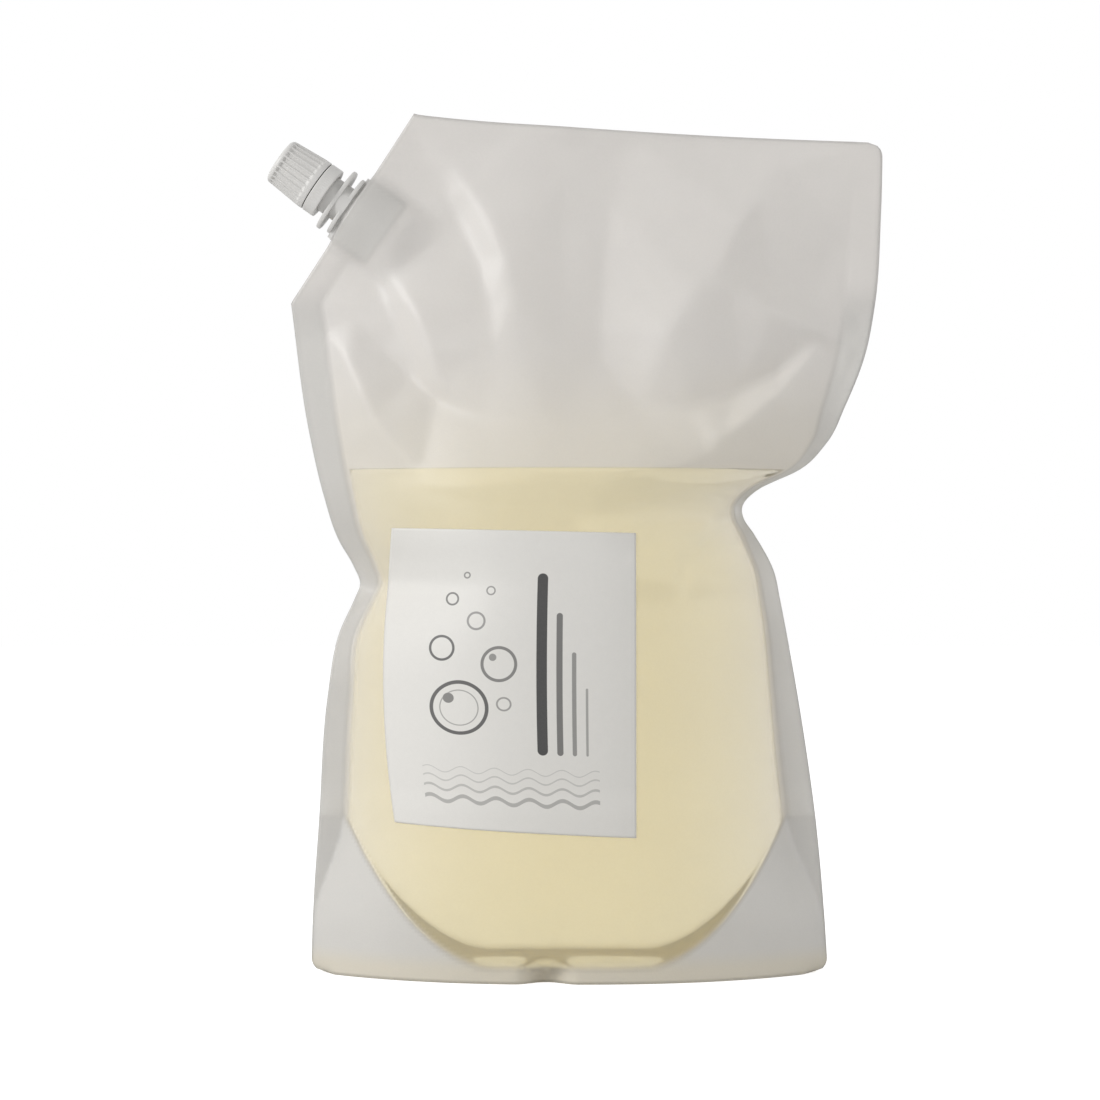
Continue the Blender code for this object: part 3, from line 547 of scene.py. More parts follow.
def soap_body():
    reach = 0.985 * INNER_SHARE
    stations = np.concatenate([[-reach], COLUMNS[11:-11:2], [reach]])
    across = np.array([0.97, 0.9, 0.75, 0.5, 0.25, 0.0, -0.25, -0.5, -0.75, -0.9, -0.97])
    climb = 0.5 * np.array([0.35, 0.05, 0, 0, 0, 0, 0, 0, 0, 0.05, 0.35])
    rings = []
    for u in stations:
        bottom = arc_height(u) + 3 * SOAP_INSET
        z = bottom + (SOAP_LEVEL - bottom) * np.linspace(0.0, 1.0, 90)
        column = np.full_like(z, u)
        ahead, behind = inside_film(-1, column, z, SOAP_INSET), inside_film(1, column, z, SOAP_INSET)
        over = [ahead[-1] * (1 + q) / 2 + behind[-1] * (1 - q) / 2 + (0, 0, c) for q, c in zip(across, climb)]
        ahead[-1, 2] += 0.5
        behind[-1, 2] += 0.5
        lift = np.array((0.0, 0.0, 2 * SOAP_INSET))
        under = [web_point(-1 if q >= 0 else 1, np.array([u]), abs(q))[0] + lift for q in across]
        rings.append(np.concatenate([ahead, np.array(over), behind[::-1], np.array(under[::-1])]))
    count, n, m = len(rings[0]), 90, len(across)
    points = np.concatenate(rings)
    start = np.arange(len(rings) - 1)[:, None] * count
    a, b = start + np.arange(count), start + np.roll(np.arange(count), -1)
    faces = np.stack([a, b, b + count, a + count], axis=-1).reshape(-1, 4).tolist()
    for base in (0, (len(rings) - 1) * count):
        ahead = [base + k for k in range(n)]
        behind = [base + 2 * n + m - 1 - k for k in range(n)]
        faces += [[ahead[k], ahead[k + 1], behind[k + 1], behind[k]] for k in range(1, n - 2)]
        faces.append([ahead[n - 2], *range(base + n - 1, base + n + m + 1), behind[n - 2]])
        faces.append([ahead[1], behind[1], *range(base + 2 * n + m - 1, base + count), ahead[0]])
    return mesh_object("soap_body", points, faces)


soap = soap_body()
print("soap", len(soap.data.polygons), "faces")

# %% [markdown]
# ## Paper label
# The label is a plain rectangle of paper stuck on the front film before the pouch is filled, so it bends with
# the film. Each point also keeps its own place on the paper, in millimetres, which the print uses later.

# %% Label
LABEL_WIDTH, LABEL_HEIGHT, LABEL_LEFT, LABEL_BOTTOM = 82.0, 102.0, -66.0, 49.0
LABEL_BOW, LABEL_SLANT, PAPER, GLUE = 3.5, 4.0, 0.2, 0.12


def label_sheet():
    a, b = np.meshgrid(np.linspace(0.0, 1.0, 100), np.linspace(0.0, 1.0, 124))
    z = LABEL_BOTTOM + LABEL_HEIGHT * b + LABEL_SLANT * (1 - a) * np.where(b < 0.5, 1 - 2 * b, b - 0.5)
    x = LABEL_LEFT + LABEL_WIDTH * a - LABEL_BOW * (1 - a) * (1 - (2 * b - 1.1) ** 2)
    left, right = place(np.full_like(z, -INNER_SHARE), z)[0], place(np.full_like(z, INNER_SHARE), z)[0]
    u = INNER_SHARE * (2 * (x - left) / (right - left) - 1)
    grid = film_point(-1, u, z) + film_normal(-1, u, z) * (FILM / 2 + GLUE + PAPER / 2)
    return sheet("paper_label", grid, PAPER, {"across": a * LABEL_WIDTH, "up": b * LABEL_HEIGHT})


label = label_sheet()
print("label", len(label.data.polygons), "faces")

# %% [markdown]
# ## Turned plastic
# Spout, band and cap are injection mouldings that share one slanted axis. Each is turned from a closed
# profile of (radius, height) points. A cap or a neck isn't quite round, so a profile point may also carry
# its own change of radius round the turn: ribs outside, a thread inside.

# %% Sizes along the spout's axis, measured from the film's edge
BORE_RADIUS, NECK_RADIUS, THREAD_ROOT, THREAD_DEPTH, PITCH = 4.6, 6.6, 6.2, 0.9, 3.2
BAND_AT, BAND_LENGTH, CAP_LENGTH, CAP_WALL, DISC = 9.7, 4.55, 15.65, 1.4, 1.0
CAP_RADIUS, CAP_END_RADIUS, COLLAR, END_RIM, RIBS, FLUTE = 9.3, 8.3, 1.9, 1.6, 24, 0.75
BEAD_HEIGHT, BEAD_LENGTH, BEAD_DROP, LIP_LENGTH = 0.8, 1.2, 2.4, 1.0
FLANGE_LENGTH, FLANGE_WIDTH, FLANGE_THICKNESS, LOWER_FLANGE_AT, UPPER_FLANGE_AT = 23.3, 13.6, 1.5, 1.3, 5.3
CAP_AT = BAND_AT + BAND_LENGTH + CLEARANCE
MOUTH = CAP_AT + CAP_LENGTH - CAP_WALL - DISC - 2 * CLEARANCE
CAP_BORE = THREAD_ROOT + THREAD_DEPTH + CLEARANCE
print("cap from", CAP_AT, "to", CAP_AT + CAP_LENGTH, "mouth at", round(MOUTH, 2))


# %% Turn a profile about the spout's axis
def on_axis(points):
    """From the spout's own frame, Z along its axis, to the pouch's frame."""
    points = np.asarray(points, float)
    x = SEAT[0] + points[..., 0] * ACROSS[0] + points[..., 2] * OUTWARD[0]
    z = SEAT[1] + points[..., 0] * ACROSS[1] + points[..., 2] * OUTWARD[1]
    return np.stack([x, points[..., 1], z], axis=-1)


def turned(name, profile, count, change=None, start=0.0):
    """A closed turned solid. The profile may begin and end on the axis; change gives the radius's change."""
    profile = np.array(profile, float)
    angle = np.linspace(0, 2 * math.pi, count, endpoint=False)[:, None]
    radius, height = profile[:, 0] + 0 * angle, profile[:, 1] + 0 * angle
    if change:
        radius = radius + change(angle, profile)
    points = np.stack([radius * np.cos(angle), radius * np.sin(angle), height + start], axis=-1)
    n = len(profile)
    if profile[0, 0] == 0:
        ring = points[:, 1:-1].reshape(-1, 3)
        n -= 2
    else:
        ring = points.reshape(-1, 3)
    index = np.arange(count * n).reshape(count, n)
    after = np.roll(index, -1, axis=0)
    faces = np.stack([index[:, :-1], after[:, :-1], after[:, 1:], index[:, 1:]], axis=-1).reshape(-1, 4).tolist()
    if profile[0, 0] == 0:
        ring = np.concatenate([ring, [(0, 0, profile[0, 1] + start), (0, 0, profile[-1, 1] + start)]])
        faces += [[after[k, 0], index[k, 0], count * n] for k in range(count)]
        faces += [[index[k, -1], after[k, -1], count * n + 1] for k in range(count)]
    else:
        faces += np.stack([index[:, -1], after[:, -1], after[:, 0], index[:, 0]], axis=-1).tolist()
    return mesh_object(name, on_axis(ring), faces)


def arc(middle, radius, first, last, count=5):
    """Points of a rounded edge, from the first angle to the last, in degrees."""
    angles = np.radians(np.linspace(first, last, count))
    return [(middle[0] + radius * math.cos(a), middle[1] + radius * math.sin(a)) for a in angles]


def line(start, end, count):
    """Points between two points, without its ends."""
    return [tuple(p) for p in np.linspace(start, end, count + 2)[1:-1]]


def ridge(angle, height, low, high, phase):
    """1 on the crest of a right-hand thread between two heights, fading out at both."""
    turn = (height / PITCH - angle / (2 * math.pi) - phase) % 1.0
    crest = 1 - smooth(np.abs(turn - 0.5) * PITCH, 0.25, 0.75)
    return crest * smooth(height, low, low + 0.8) * (1 - smooth(height, high - 0.8, high))


# %% [markdown]
# ## Screw cap
# Twenty-four narrow ribs give wet fingers a grip. They stop short of a smooth collar at the foot and of a
# rounded rim at the end. Inside, a ridge meets the neck's thread half a pitch apart, so the two mesh.

# %% Cap
INNER_TOP = CAP_LENGTH - CAP_WALL
CAP_PROFILE = [
    (0.0, CAP_LENGTH - 0.25), (5.4, CAP_LENGTH - 0.25), (5.7, CAP_LENGTH - 0.2), (6.0, CAP_LENGTH - 0.05),
    (6.3, CAP_LENGTH), *arc((CAP_END_RADIUS - 1.4, CAP_LENGTH - 1.4), 1.4, 90, 5, 7),
    *line((CAP_END_RADIUS, CAP_LENGTH - 1.35), (CAP_RADIUS, COLLAR), 46),
    (CAP_RADIUS, COLLAR), *line((CAP_RADIUS, COLLAR), (CAP_RADIUS, 0.3), 2),
    *arc((CAP_RADIUS - 0.3, 0.3), 0.3, 0, -90), (CAP_BORE + 0.3, 0.0), (CAP_BORE, 0.3),
    *line((CAP_BORE, 0.3), (CAP_BORE, INNER_TOP - 0.4), 46), (CAP_BORE - 0.4, INNER_TOP), (0.0, INNER_TOP),
]


def cap_change(angle, profile):
    radius, height = profile[:, 0], profile[:, 1]
    step = (angle / (2 * math.pi) * RIBS - 0.875) % 1.0
    rib = 1 - smooth(np.minimum(step, 1 - step), 0.1, 0.22)
    fluted = smooth(height, COLLAR, COLLAR + 0.9) * (1 - smooth(height, CAP_LENGTH - END_RIM - 0.9, CAP_LENGTH - END_RIM))
    outside = radius > CAP_END_RADIUS - 0.05
    inside = (np.abs(radius - CAP_BORE) < 0.01) & (height > 0.5)
    crest = ridge(angle, height + CAP_AT, CAP_AT + 1.5, CAP_AT + 10.5, 0.5)
    return -FLUTE * (1 - rib) * fluted * outside - THREAD_DEPTH * crest * inside


cap = turned("screw_cap", CAP_PROFILE, 384, cap_change, CAP_AT)
print("cap", len(cap.data.polygons), "faces")

# %% [markdown]
# ## Seal disc and tamper band
# The disc is a slice of foam that the neck's mouth has pressed a ring into. The band is the cap's lower end,
# left behind on the neck when the cap is first unscrewed.

# %% Disc and band
DISC_TOP = CAP_LENGTH - CAP_WALL - CLEARANCE
DISC_LOW, DISC_RADIUS = DISC_TOP - DISC, CAP_BORE - CLEARANCE
disc = turned("seal_disc", [
    (0.0, DISC_LOW), (4.4, DISC_LOW), (4.7, DISC_LOW + 0.12), (5.4, DISC_LOW + 0.16), (6.1, DISC_LOW + 0.12),
    (6.4, DISC_LOW), *arc((DISC_RADIUS - 0.2, DISC_LOW + 0.2), 0.2, -90, 0), *arc((DISC_RADIUS - 0.2, DISC_TOP - 0.2), 0.2, 0, 90),
    (4.0, DISC_TOP), (0.0, DISC_TOP),
], 128, start=CAP_AT)
BAND_INNER, LIP, BRIDGES = NECK_RADIUS + BEAD_HEIGHT + CLEARANCE, NECK_RADIUS + CLEARANCE, 12
BAND_TOP = BAND_AT + BAND_LENGTH
band_profile = [
    (LIP, BAND_AT + 0.15), (LIP + 0.15, BAND_AT), *arc((CAP_RADIUS - 0.35, BAND_AT + 0.35), 0.35, -90, 0),
    *line((CAP_RADIUS, BAND_AT + 0.35), (CAP_RADIUS, BAND_TOP - 0.3), 12),
    *arc((CAP_RADIUS - 0.3, BAND_TOP - 0.3), 0.3, 0, 90), (BAND_INNER + 0.2, BAND_TOP), (BAND_INNER, BAND_TOP - 0.2),
    (BAND_INNER, BAND_AT + LIP_LENGTH + 0.4), (LIP + 0.2, BAND_AT + LIP_LENGTH), (LIP, BAND_AT + LIP_LENGTH - 0.2),
]


def band_change(angle, profile):
    radius, height = profile[:, 0], profile[:, 1]
    rib = 0.5 + 0.5 * np.cos(angle * 3 * RIBS)
    zone = smooth(height, BAND_AT + 0.8, BAND_AT + 1.3) * (1 - smooth(height, BAND_TOP - 1.3, BAND_TOP - 0.8))
    return -0.05 * (1 - rib) * zone * (radius > CAP_RADIUS - 0.1)


band = turned("tamper_ring", band_profile, 432, band_change)
print("disc", len(disc.data.polygons), "band", len(band.data.polygons), "faces")

# %% [markdown]
# ## Spout
# The spout is one moulding: a ribbed boat-shaped base that is welded between the films, two thin flanges
# that the filling machine holds, a neck with a catching bead, and the thread. Overlapping shapes are joined
# and the bore is cut through with Boolean operations, as the core pin does in the mould.

# %% Stacked outlines for the flanges and the weld base
def plate_outline(length, width, count=20):
    angles = np.radians(np.linspace(-90, 90, count))
    straight = (length - width) / 2
    right = np.stack([straight + width / 2 * np.cos(angles), width / 2 * np.sin(angles)], axis=-1)
    return np.concatenate([right, -right])


def boat_outline(length, thickness, count=36, tip=0.5):
    x = np.linspace(1, -1, count)
    side = np.stack([x * length / 2, tip + (thickness / 2 - tip) * (1 - x * x)], axis=-1)
    return np.concatenate([side, -side])


def stacked(name, rings):
    """A closed solid from outlines at rising heights, given as (outline, height)."""
    n = len(rings[0][0])
    points = np.concatenate([np.column_stack([ring, np.full(n, height)]) for ring, height in rings])
    index = np.arange(len(rings) * n).reshape(len(rings), n)
    after = np.roll(index, -1, axis=1)
    faces = np.stack([index[:-1], after[:-1], after[1:], index[1:]], axis=-1).reshape(-1, 4).tolist()
    return mesh_object(name, on_axis(points), faces + [index[0, ::-1].tolist(), index[-1].tolist()])


def plate(name, length, width, low, edge=0.35):
    high = low + FLANGE_THICKNESS
    steps = [(edge, low), (0.1, low + 0.1), (0.0, low + edge), (0.0, high - edge), (0.1, high - 0.1), (edge, high)]
    return stacked(name, [(plate_outline(length - 2 * s, width - 2 * s), h) for s, h in steps])


def weld_base():
    rings, top = [], LOWER_FLANGE_AT + 0.2
    for k in range(9):
        low = -BOAT_DEPTH + 1.8 * k
        for inset, height in ((0.45, low), (0.0, low + 0.3), (0.0, low + 1.0), (0.45, low + 1.3)):
            if height < top - 0.4:
                rings.append((boat_outline(BOAT_LENGTH - inset, BOAT_THICKNESS - 2 * inset), height))
    rings.append((boat_outline(BOAT_LENGTH - 0.45, BOAT_THICKNESS - 0.9), top))
    return stacked("weld_base_shape", rings)


def join(target, other, operation):
    """Applies one Boolean operation and removes the helper."""
    modifier = target.modifiers.new("join", "BOOLEAN")
    modifier.operation, modifier.object, modifier.solver = operation, other, "EXACT"
    made = bpy.data.meshes.new_from_object(target.evaluated_get(bpy.context.evaluated_depsgraph_get()))
    target.modifiers.clear()
    target.data = made
    bpy.data.objects.remove(other)


# %% Spout
THREAD_LOW = BAND_TOP + 0.3
BEAD = BAND_TOP - BEAD_DROP
neck_profile = [
    (BORE_RADIUS, -BOAT_DEPTH - 1.0), (BORE_RADIUS, MOUTH - 0.3), (BORE_RADIUS + 0.3, MOUTH),
    (THREAD_ROOT - 0.4, MOUTH), (THREAD_ROOT, MOUTH - 0.4),
    *line((THREAD_ROOT, MOUTH - 0.4), (THREAD_ROOT, THREAD_LOW), 60), (THREAD_ROOT, THREAD_LOW),
    (NECK_RADIUS, THREAD_LOW - 0.4), (NECK_RADIUS, BEAD + BEAD_LENGTH),
    *arc((NECK_RADIUS, BEAD + BEAD_LENGTH / 2), BEAD_HEIGHT, 45, 0, 4), (NECK_RADIUS + BEAD_HEIGHT, BEAD + 0.1),
    (NECK_RADIUS + BEAD_HEIGHT - 0.1, BEAD), (NECK_RADIUS, BEAD), (NECK_RADIUS, LOWER_FLANGE_AT),
    (BORE_RADIUS + 1.0, LOWER_FLANGE_AT), (BORE_RADIUS + 1.0, -BOAT_DEPTH - 1.0),
]


def neck_change(angle, profile):
    height = profile[:, 1]
    threaded = (np.abs(profile[:, 0] - THREAD_ROOT) < 0.01) & (height > THREAD_LOW + 0.1)
    return THREAD_DEPTH * ridge(angle, height, THREAD_LOW, MOUTH - 0.6, 0.0) * threaded


spout = turned("neck_and_base", neck_profile, 160, neck_change)
join(spout, plate("upper", FLANGE_LENGTH, FLANGE_WIDTH, UPPER_FLANGE_AT), "UNION")
join(spout, plate("lower", FLANGE_LENGTH - 1.4, FLANGE_WIDTH - 1.4, LOWER_FLANGE_AT), "UNION")
join(spout, weld_base(), "UNION")
bore = [(0.0, -BOAT_DEPTH - 3.0), (BORE_RADIUS + 0.01, -BOAT_DEPTH - 3.0), (BORE_RADIUS + 0.01, MOUTH - 0.5),
        (0.0, MOUTH - 0.5)]
join(spout, turned("bore_shape", bore, 160), "DIFFERENCE")
spout.data.shade_smooth()
spout.data.set_sharp_from_angle(angle=math.radians(35))
print("spout", len(spout.data.polygons), "faces")

# %% [markdown]
# ## Materials
# A material is a small chain of nodes. The first helpers only make such chains short to write. The effects
# that several materials share, a fine grain and soft clouds of tone, are node groups with named inputs.


# %% Helpers for nodes
def put(node, values):
    """Sets a node's inputs: a socket is linked and anything else is written as a value."""
    for name, value in values.items():
        if isinstance(value, bpy.types.NodeSocket):
            node.id_data.links.new(value, node.inputs[name])
        else:
            node.inputs[name].default_value = value
    return node


def add(tree, kind, values=None, **settings):
    node = tree.nodes.new("ShaderNode" + kind)
    for key, value in settings.items():
        setattr(node, key, value)
    return put(node, values or {})


def calc(tree, operation, *values):
    """One sum on numbers or sockets."""
    return add(tree, "Math", dict(enumerate(values)), operation=operation).outputs[0]


def blend(tree, factor, a, b):
    """A colour between a and b."""
    return add(tree, "Mix", {0: factor, 6: a, 7: b}, data_type="RGBA").outputs[2]


def fade(tree, value, low, high):
    """0 below low, 1 above high, and a soft step between them."""
    values = {"Value": value, "From Min": low, "From Max": high}
    return add(tree, "MapRange", values, interpolation_type="SMOOTHSTEP").outputs["Result"]


def new_group(name, inputs, outputs):
    """A node group whose inputs and outputs are given as (name, kind, value) and (name, kind)."""
    group = bpy.data.node_groups.new(name, "ShaderNodeTree")
    for label_text, kind, value in inputs:
        socket = group.interface.new_socket(label_text, in_out="INPUT", socket_type="NodeSocket" + kind)
        if value is not None:
            socket.default_value = value
    for label_text, kind in outputs:
        group.interface.new_socket(label_text, in_out="OUTPUT", socket_type="NodeSocket" + kind)
    return group, group.nodes.new("NodeGroupInput").outputs, group.nodes.new("NodeGroupOutput")


def use(tree, group, values):
    """Places a node group with its own values."""
    node = tree.nodes.new("ShaderNodeGroup")
    node.node_tree = group
    return put(node, values).outputs


# %% Shared effect: fine grain
grain, given, result = new_group(
    "Fine grain", [("Position", "Vector", None), ("Scale", "Float", 900.0), ("Tone", "Float", 0.04)],
    [("Shade", "Float"), ("Height", "Float")])
coarse = add(grain, "TexNoise", {"Vector": given["Position"], "Scale": given["Scale"], "Detail": 3.0})
shade = calc(grain, "MULTIPLY", calc(grain, "SUBTRACT", coarse.outputs[0], 0.5), given["Tone"])
put(result, {"Shade": calc(grain, "ADD", shade, 1.0), "Height": coarse.outputs[0]})

# %% Shared effect: soft clouds of tone
clouds, given, result = new_group(
    "Soft clouds", [("Position", "Vector", None), ("Scale", "Float", 40.0), ("Tone", "Float", 0.05)],
    [("Shade", "Float")])
wide = add(clouds, "TexNoise", {"Vector": given["Position"], "Scale": given["Scale"], "Detail": 4.0, "Distortion": 0.6})
shade = calc(clouds, "MULTIPLY", calc(clouds, "SUBTRACT", wide.outputs[0], 0.5), given["Tone"])
put(result, {"Shade": calc(clouds, "ADD", shade, 1.0)})


# %% Start and end of a material
def new_material(name):
    """An empty material, its tree, its output node and the place of each point in metres."""
    material = bpy.data.materials.new(name)
    material.use_nodes = True
    tree = material.node_tree
    tree.nodes.clear()
    return material, tree, add(tree, "OutputMaterial"), add(tree, "TexCoord").outputs["Object"]


def shaded(tree, colour, *shades):
    """A colour times each shade."""
    for shade in shades:
        colour = add(tree, "VectorMath", {0: colour, 1: shade}, operation="MULTIPLY").outputs[0]
    return colour


def bumped(tree, height, distance, strength=0.3):
    return add(tree, "Bump", {"Height": height, "Distance": distance, "Strength": strength}).outputs[0]


def lone(tree, end, **values):
    """One Principled shader on the material's output."""
    shader = add(tree, "BsdfPrincipled", {key.replace("_", " "): value for key, value in values.items()})
    tree.links.new(shader.outputs[0], end.inputs["Surface"])
    return shader


# %% [markdown]
# ## Frosted film
# The film is polyethylene with a matt outer face. Dry film scatters most light and hides what lies behind
# it. Where soap wets the inside, the rough face is filled with liquid and the film turns clear. So one
# number, the cover, says how much the film hides, and it depends on the masks and on the level of the soap.

# %% Film material
film, tree, end, position = new_material("frosted film")
fine = use(tree, grain, {"Position": position, "Scale": 1400.0, "Tone": 0.05})
cloudy = use(tree, clouds, {"Position": position, "Scale": 30.0, "Tone": 0.06})
seal_mask = add(tree, "Attribute", attribute_name="seal").outputs["Fac"]
wet_mask = add(tree, "Attribute", attribute_name="wet").outputs["Fac"]
height = add(tree, "SeparateXYZ", {0: position}).outputs["Z"]
below = calc(tree, "SUBTRACT", 1.0, fade(tree, height, (SOAP_LEVEL - 0.2) * MM, (SOAP_LEVEL + 0.5) * MM))
wet = calc(tree, "MULTIPLY", wet_mask, below)
DRY_COVER, WET_COVER, SEAL_COVER = 0.84, 0.5, 0.94
cover = calc(tree, "SUBTRACT", DRY_COVER, calc(tree, "MULTIPLY", wet, DRY_COVER - WET_COVER))
cover = calc(tree, "ADD", cover, calc(tree, "MULTIPLY", seal_mask, SEAL_COVER - DRY_COVER))
front_side = calc(tree, "SUBTRACT", 1.0, add(tree, "NewGeometry").outputs["Backfacing"])
edge_shade_mask = add(tree, "Attribute", attribute_name="edge").outputs["Fac"]
splash = calc(tree, "SUBTRACT", 1.0, fade(tree, height, SOAP_LEVEL * MM, (SOAP_LEVEL + 45) * MM))
tint = blend(tree, splash, (0.80, 0.775, 0.745, 1.0), (0.80, 0.765, 0.70, 1.0))
tint = blend(tree, wet, tint, (0.82, 0.745, 0.56, 1.0))
tint = blend(tree, seal_mask, tint, (0.78, 0.765, 0.735, 1.0))
foot = calc(tree, "SUBTRACT", 1.0, fade(tree, height, 3.0 * MM, 11.0 * MM))
tint = blend(tree, calc(tree, "MULTIPLY", foot, 0.6), tint, (0.82, 0.76, 0.62, 1.0))
# Painted shade: the film's colour is darkened by up to 22 percent along its cut outline, where the edge mask is set.
rim = calc(tree, "SUBTRACT", 1.0, calc(tree, "MULTIPLY", edge_shade_mask, 0.22))
line_of_seal = calc(tree, "MULTIPLY", seal_mask, calc(tree, "SUBTRACT", 1.0, seal_mask))
weld = calc(tree, "SUBTRACT", 1.0, calc(tree, "MULTIPLY", line_of_seal, 0.35))
# Painted shade: a thin dark line along the soap's level, where the wet film meets the dry film.
level_shade_mask = calc(tree, "MULTIPLY", wet_mask, calc(tree, "MULTIPLY", below, calc(tree, "SUBTRACT", 1.0, below)))
painted_level_shade = calc(tree, "SUBTRACT", 1.0, calc(tree, "MULTIPLY", level_shade_mask, 1.0))
colour = shaded(tree, tint, fine["Shade"], cloudy["Shade"], rim, weld, painted_level_shade)
normal = bumped(tree, fine["Height"], 0.00012)
matt = add(tree, "BsdfPrincipled", {"Base Color": colour, "Roughness": 0.36, "IOR": 1.5, "Normal": normal})
through = add(tree, "BsdfTranslucent", {"Color": colour, "Normal": normal})
skin = add(tree, "MixShader", {0: 0.22, 1: matt.outputs[0], 2: through.outputs[0]})
shown = calc(tree, "MULTIPLY", cover, front_side)
whole = add(tree, "MixShader", {0: shown, 1: add(tree, "BsdfTransparent").outputs[0], 2: skin.outputs[0]})
tree.links.new(whole.outputs[0], end.inputs["Surface"])

# %% [markdown]
# ## Soap
# The liquid is clear, a little denser than water in how it bends light, and pale yellow only because there
# is so much of it: the colour comes from absorption over the depth and not from its surface.

# %% Soap material
soap_look, tree, end, position = new_material("pale yellow soap")
fine = use(tree, clouds, {"Position": position, "Scale": 60.0, "Tone": 0.2})
lone(tree, end, Base_Color=(1.0, 1.0, 1.0, 1.0), Roughness=0.08, IOR=1.12, Transmission_Weight=1.0, Metallic=0.0,
     Normal=bumped(tree, fine["Shade"], 0.0005, 0.1))
depth_colour = add(tree, "VolumeAbsorption", {"Color": (0.92, 0.80, 0.22, 1.0), "Density": 9.0})
tree.links.new(depth_colour.outputs[0], end.inputs["Volume"])

# %% [markdown]
# ## White plastic and foam
# Cap, band and spout are moulded polyethylene: a little glossy, with the faint texture of the mould and tone
# that changes slowly where the plastic flowed. The disc is foam with small pores.

# %% White plastic material
white, tree, end, position = new_material("white plastic")
fine = use(tree, grain, {"Position": position, "Scale": 2600.0, "Tone": 0.03})
flow = use(tree, clouds, {"Position": position, "Scale": 120.0, "Tone": 0.05})
colour = shaded(tree, (0.66, 0.65, 0.63), fine["Shade"], flow["Shade"])
roughness = calc(tree, "MULTIPLY", flow["Shade"], 0.38)
lone(tree, end, Base_Color=colour, Roughness=roughness, IOR=1.5, Normal=bumped(tree, fine["Height"], 0.00003))

# %% Foam material
foam, tree, end, position = new_material("pale foam")
pores = use(tree, grain, {"Position": position, "Scale": 3500.0, "Tone": 0.25})
flow = use(tree, clouds, {"Position": position, "Scale": 200.0, "Tone": 0.06})
colour = shaded(tree, (0.72, 0.71, 0.68), pores["Shade"], flow["Shade"])
lone(tree, end, Base_Color=colour, Roughness=0.8, IOR=1.45, Normal=bumped(tree, pores["Height"], 0.0002, 0.6))

# %% [markdown]
# ## Printed paper
# The print shows reeds, bubbles and water. It is drawn from three node groups, a bar with round ends, a ring
# and a wavy line, placed by their millimetres on the paper. A printer would lay one dark ink over plain paper in the same way: each mask says where ink is.

# %% Print effect: bar with round ends
bar, given, result = new_group(
    "Bar", [(name, "Float", 0.0) for name in ("Across", "Up", "Left", "Right", "Low", "High")], [("Mask", "Float")])
half = calc(bar, "MULTIPLY", calc(bar, "MINIMUM", calc(bar, "SUBTRACT", given["Right"], given["Left"]),
                                  calc(bar, "SUBTRACT", given["High"], given["Low"])), 0.5)


def outside_of(tree, value, low, high, inset):
    """How far a value lies outside low to high, both drawn in by the inset."""
    below = calc(tree, "SUBTRACT", calc(tree, "ADD", low, inset), value)
    above = calc(tree, "SUBTRACT", value, calc(tree, "SUBTRACT", high, inset))
    return calc(tree, "MAXIMUM", calc(tree, "MAXIMUM", below, above), 0.0)


sideways = outside_of(bar, given["Across"], given["Left"], given["Right"], half)
upright = outside_of(bar, given["Up"], given["Low"], given["High"], half)
away = calc(bar, "SQRT", calc(bar, "ADD", calc(bar, "POWER", sideways, 2.0), calc(bar, "POWER", upright, 2.0)))
put(result, {"Mask": calc(bar, "SUBTRACT", 1.0, fade(bar, calc(bar, "SUBTRACT", away, half), -0.08, 0.08))})

# %% Print effect: ring
ring, given, result = new_group(
    "Ring", [(name, "Float", 0.0) for name in ("Across", "Up", "Middle Across", "Middle Up", "Radius", "Line")],
    [("Mask", "Float")])
square_x = calc(ring, "POWER", calc(ring, "ABSOLUTE", calc(ring, "SUBTRACT", given["Across"], given["Middle Across"])), 2.0)
square_y = calc(ring, "POWER", calc(ring, "ABSOLUTE", calc(ring, "SUBTRACT", given["Up"], given["Middle Up"])), 2.0)
away = calc(ring, "ABSOLUTE", calc(ring, "SUBTRACT", calc(ring, "SQRT", calc(ring, "ADD", square_x, square_y)), given["Radius"]))
edge = calc(ring, "SUBTRACT", away, calc(ring, "MULTIPLY", given["Line"], 0.5))
put(result, {"Mask": calc(ring, "SUBTRACT", 1.0, fade(ring, edge, -0.08, 0.08))})

# %% Print effect: wavy line
wave, given, result = new_group(
    "Wave", [(name, "Float", 0.0) for name in ("Across", "Up", "Left", "Right", "Level", "Swing", "Line")],
    [("Mask", "Float")])
WAVE_LENGTH = 11.0
swing = calc(wave, "SINE", calc(wave, "MULTIPLY", given["Across"], 2 * math.pi / WAVE_LENGTH))
middle = calc(wave, "ADD", given["Level"], calc(wave, "MULTIPLY", swing, given["Swing"]))
away = calc(wave, "ABSOLUTE", calc(wave, "SUBTRACT", given["Up"], middle))
away = calc(wave, "SUBTRACT", away, calc(wave, "MULTIPLY", given["Line"], 0.5))
away = calc(wave, "MAXIMUM", away, outside_of(wave, given["Across"], given["Left"], given["Right"], 0.0))
put(result, {"Mask": calc(wave, "SUBTRACT", 1.0, fade(wave, away, -0.08, 0.08))})

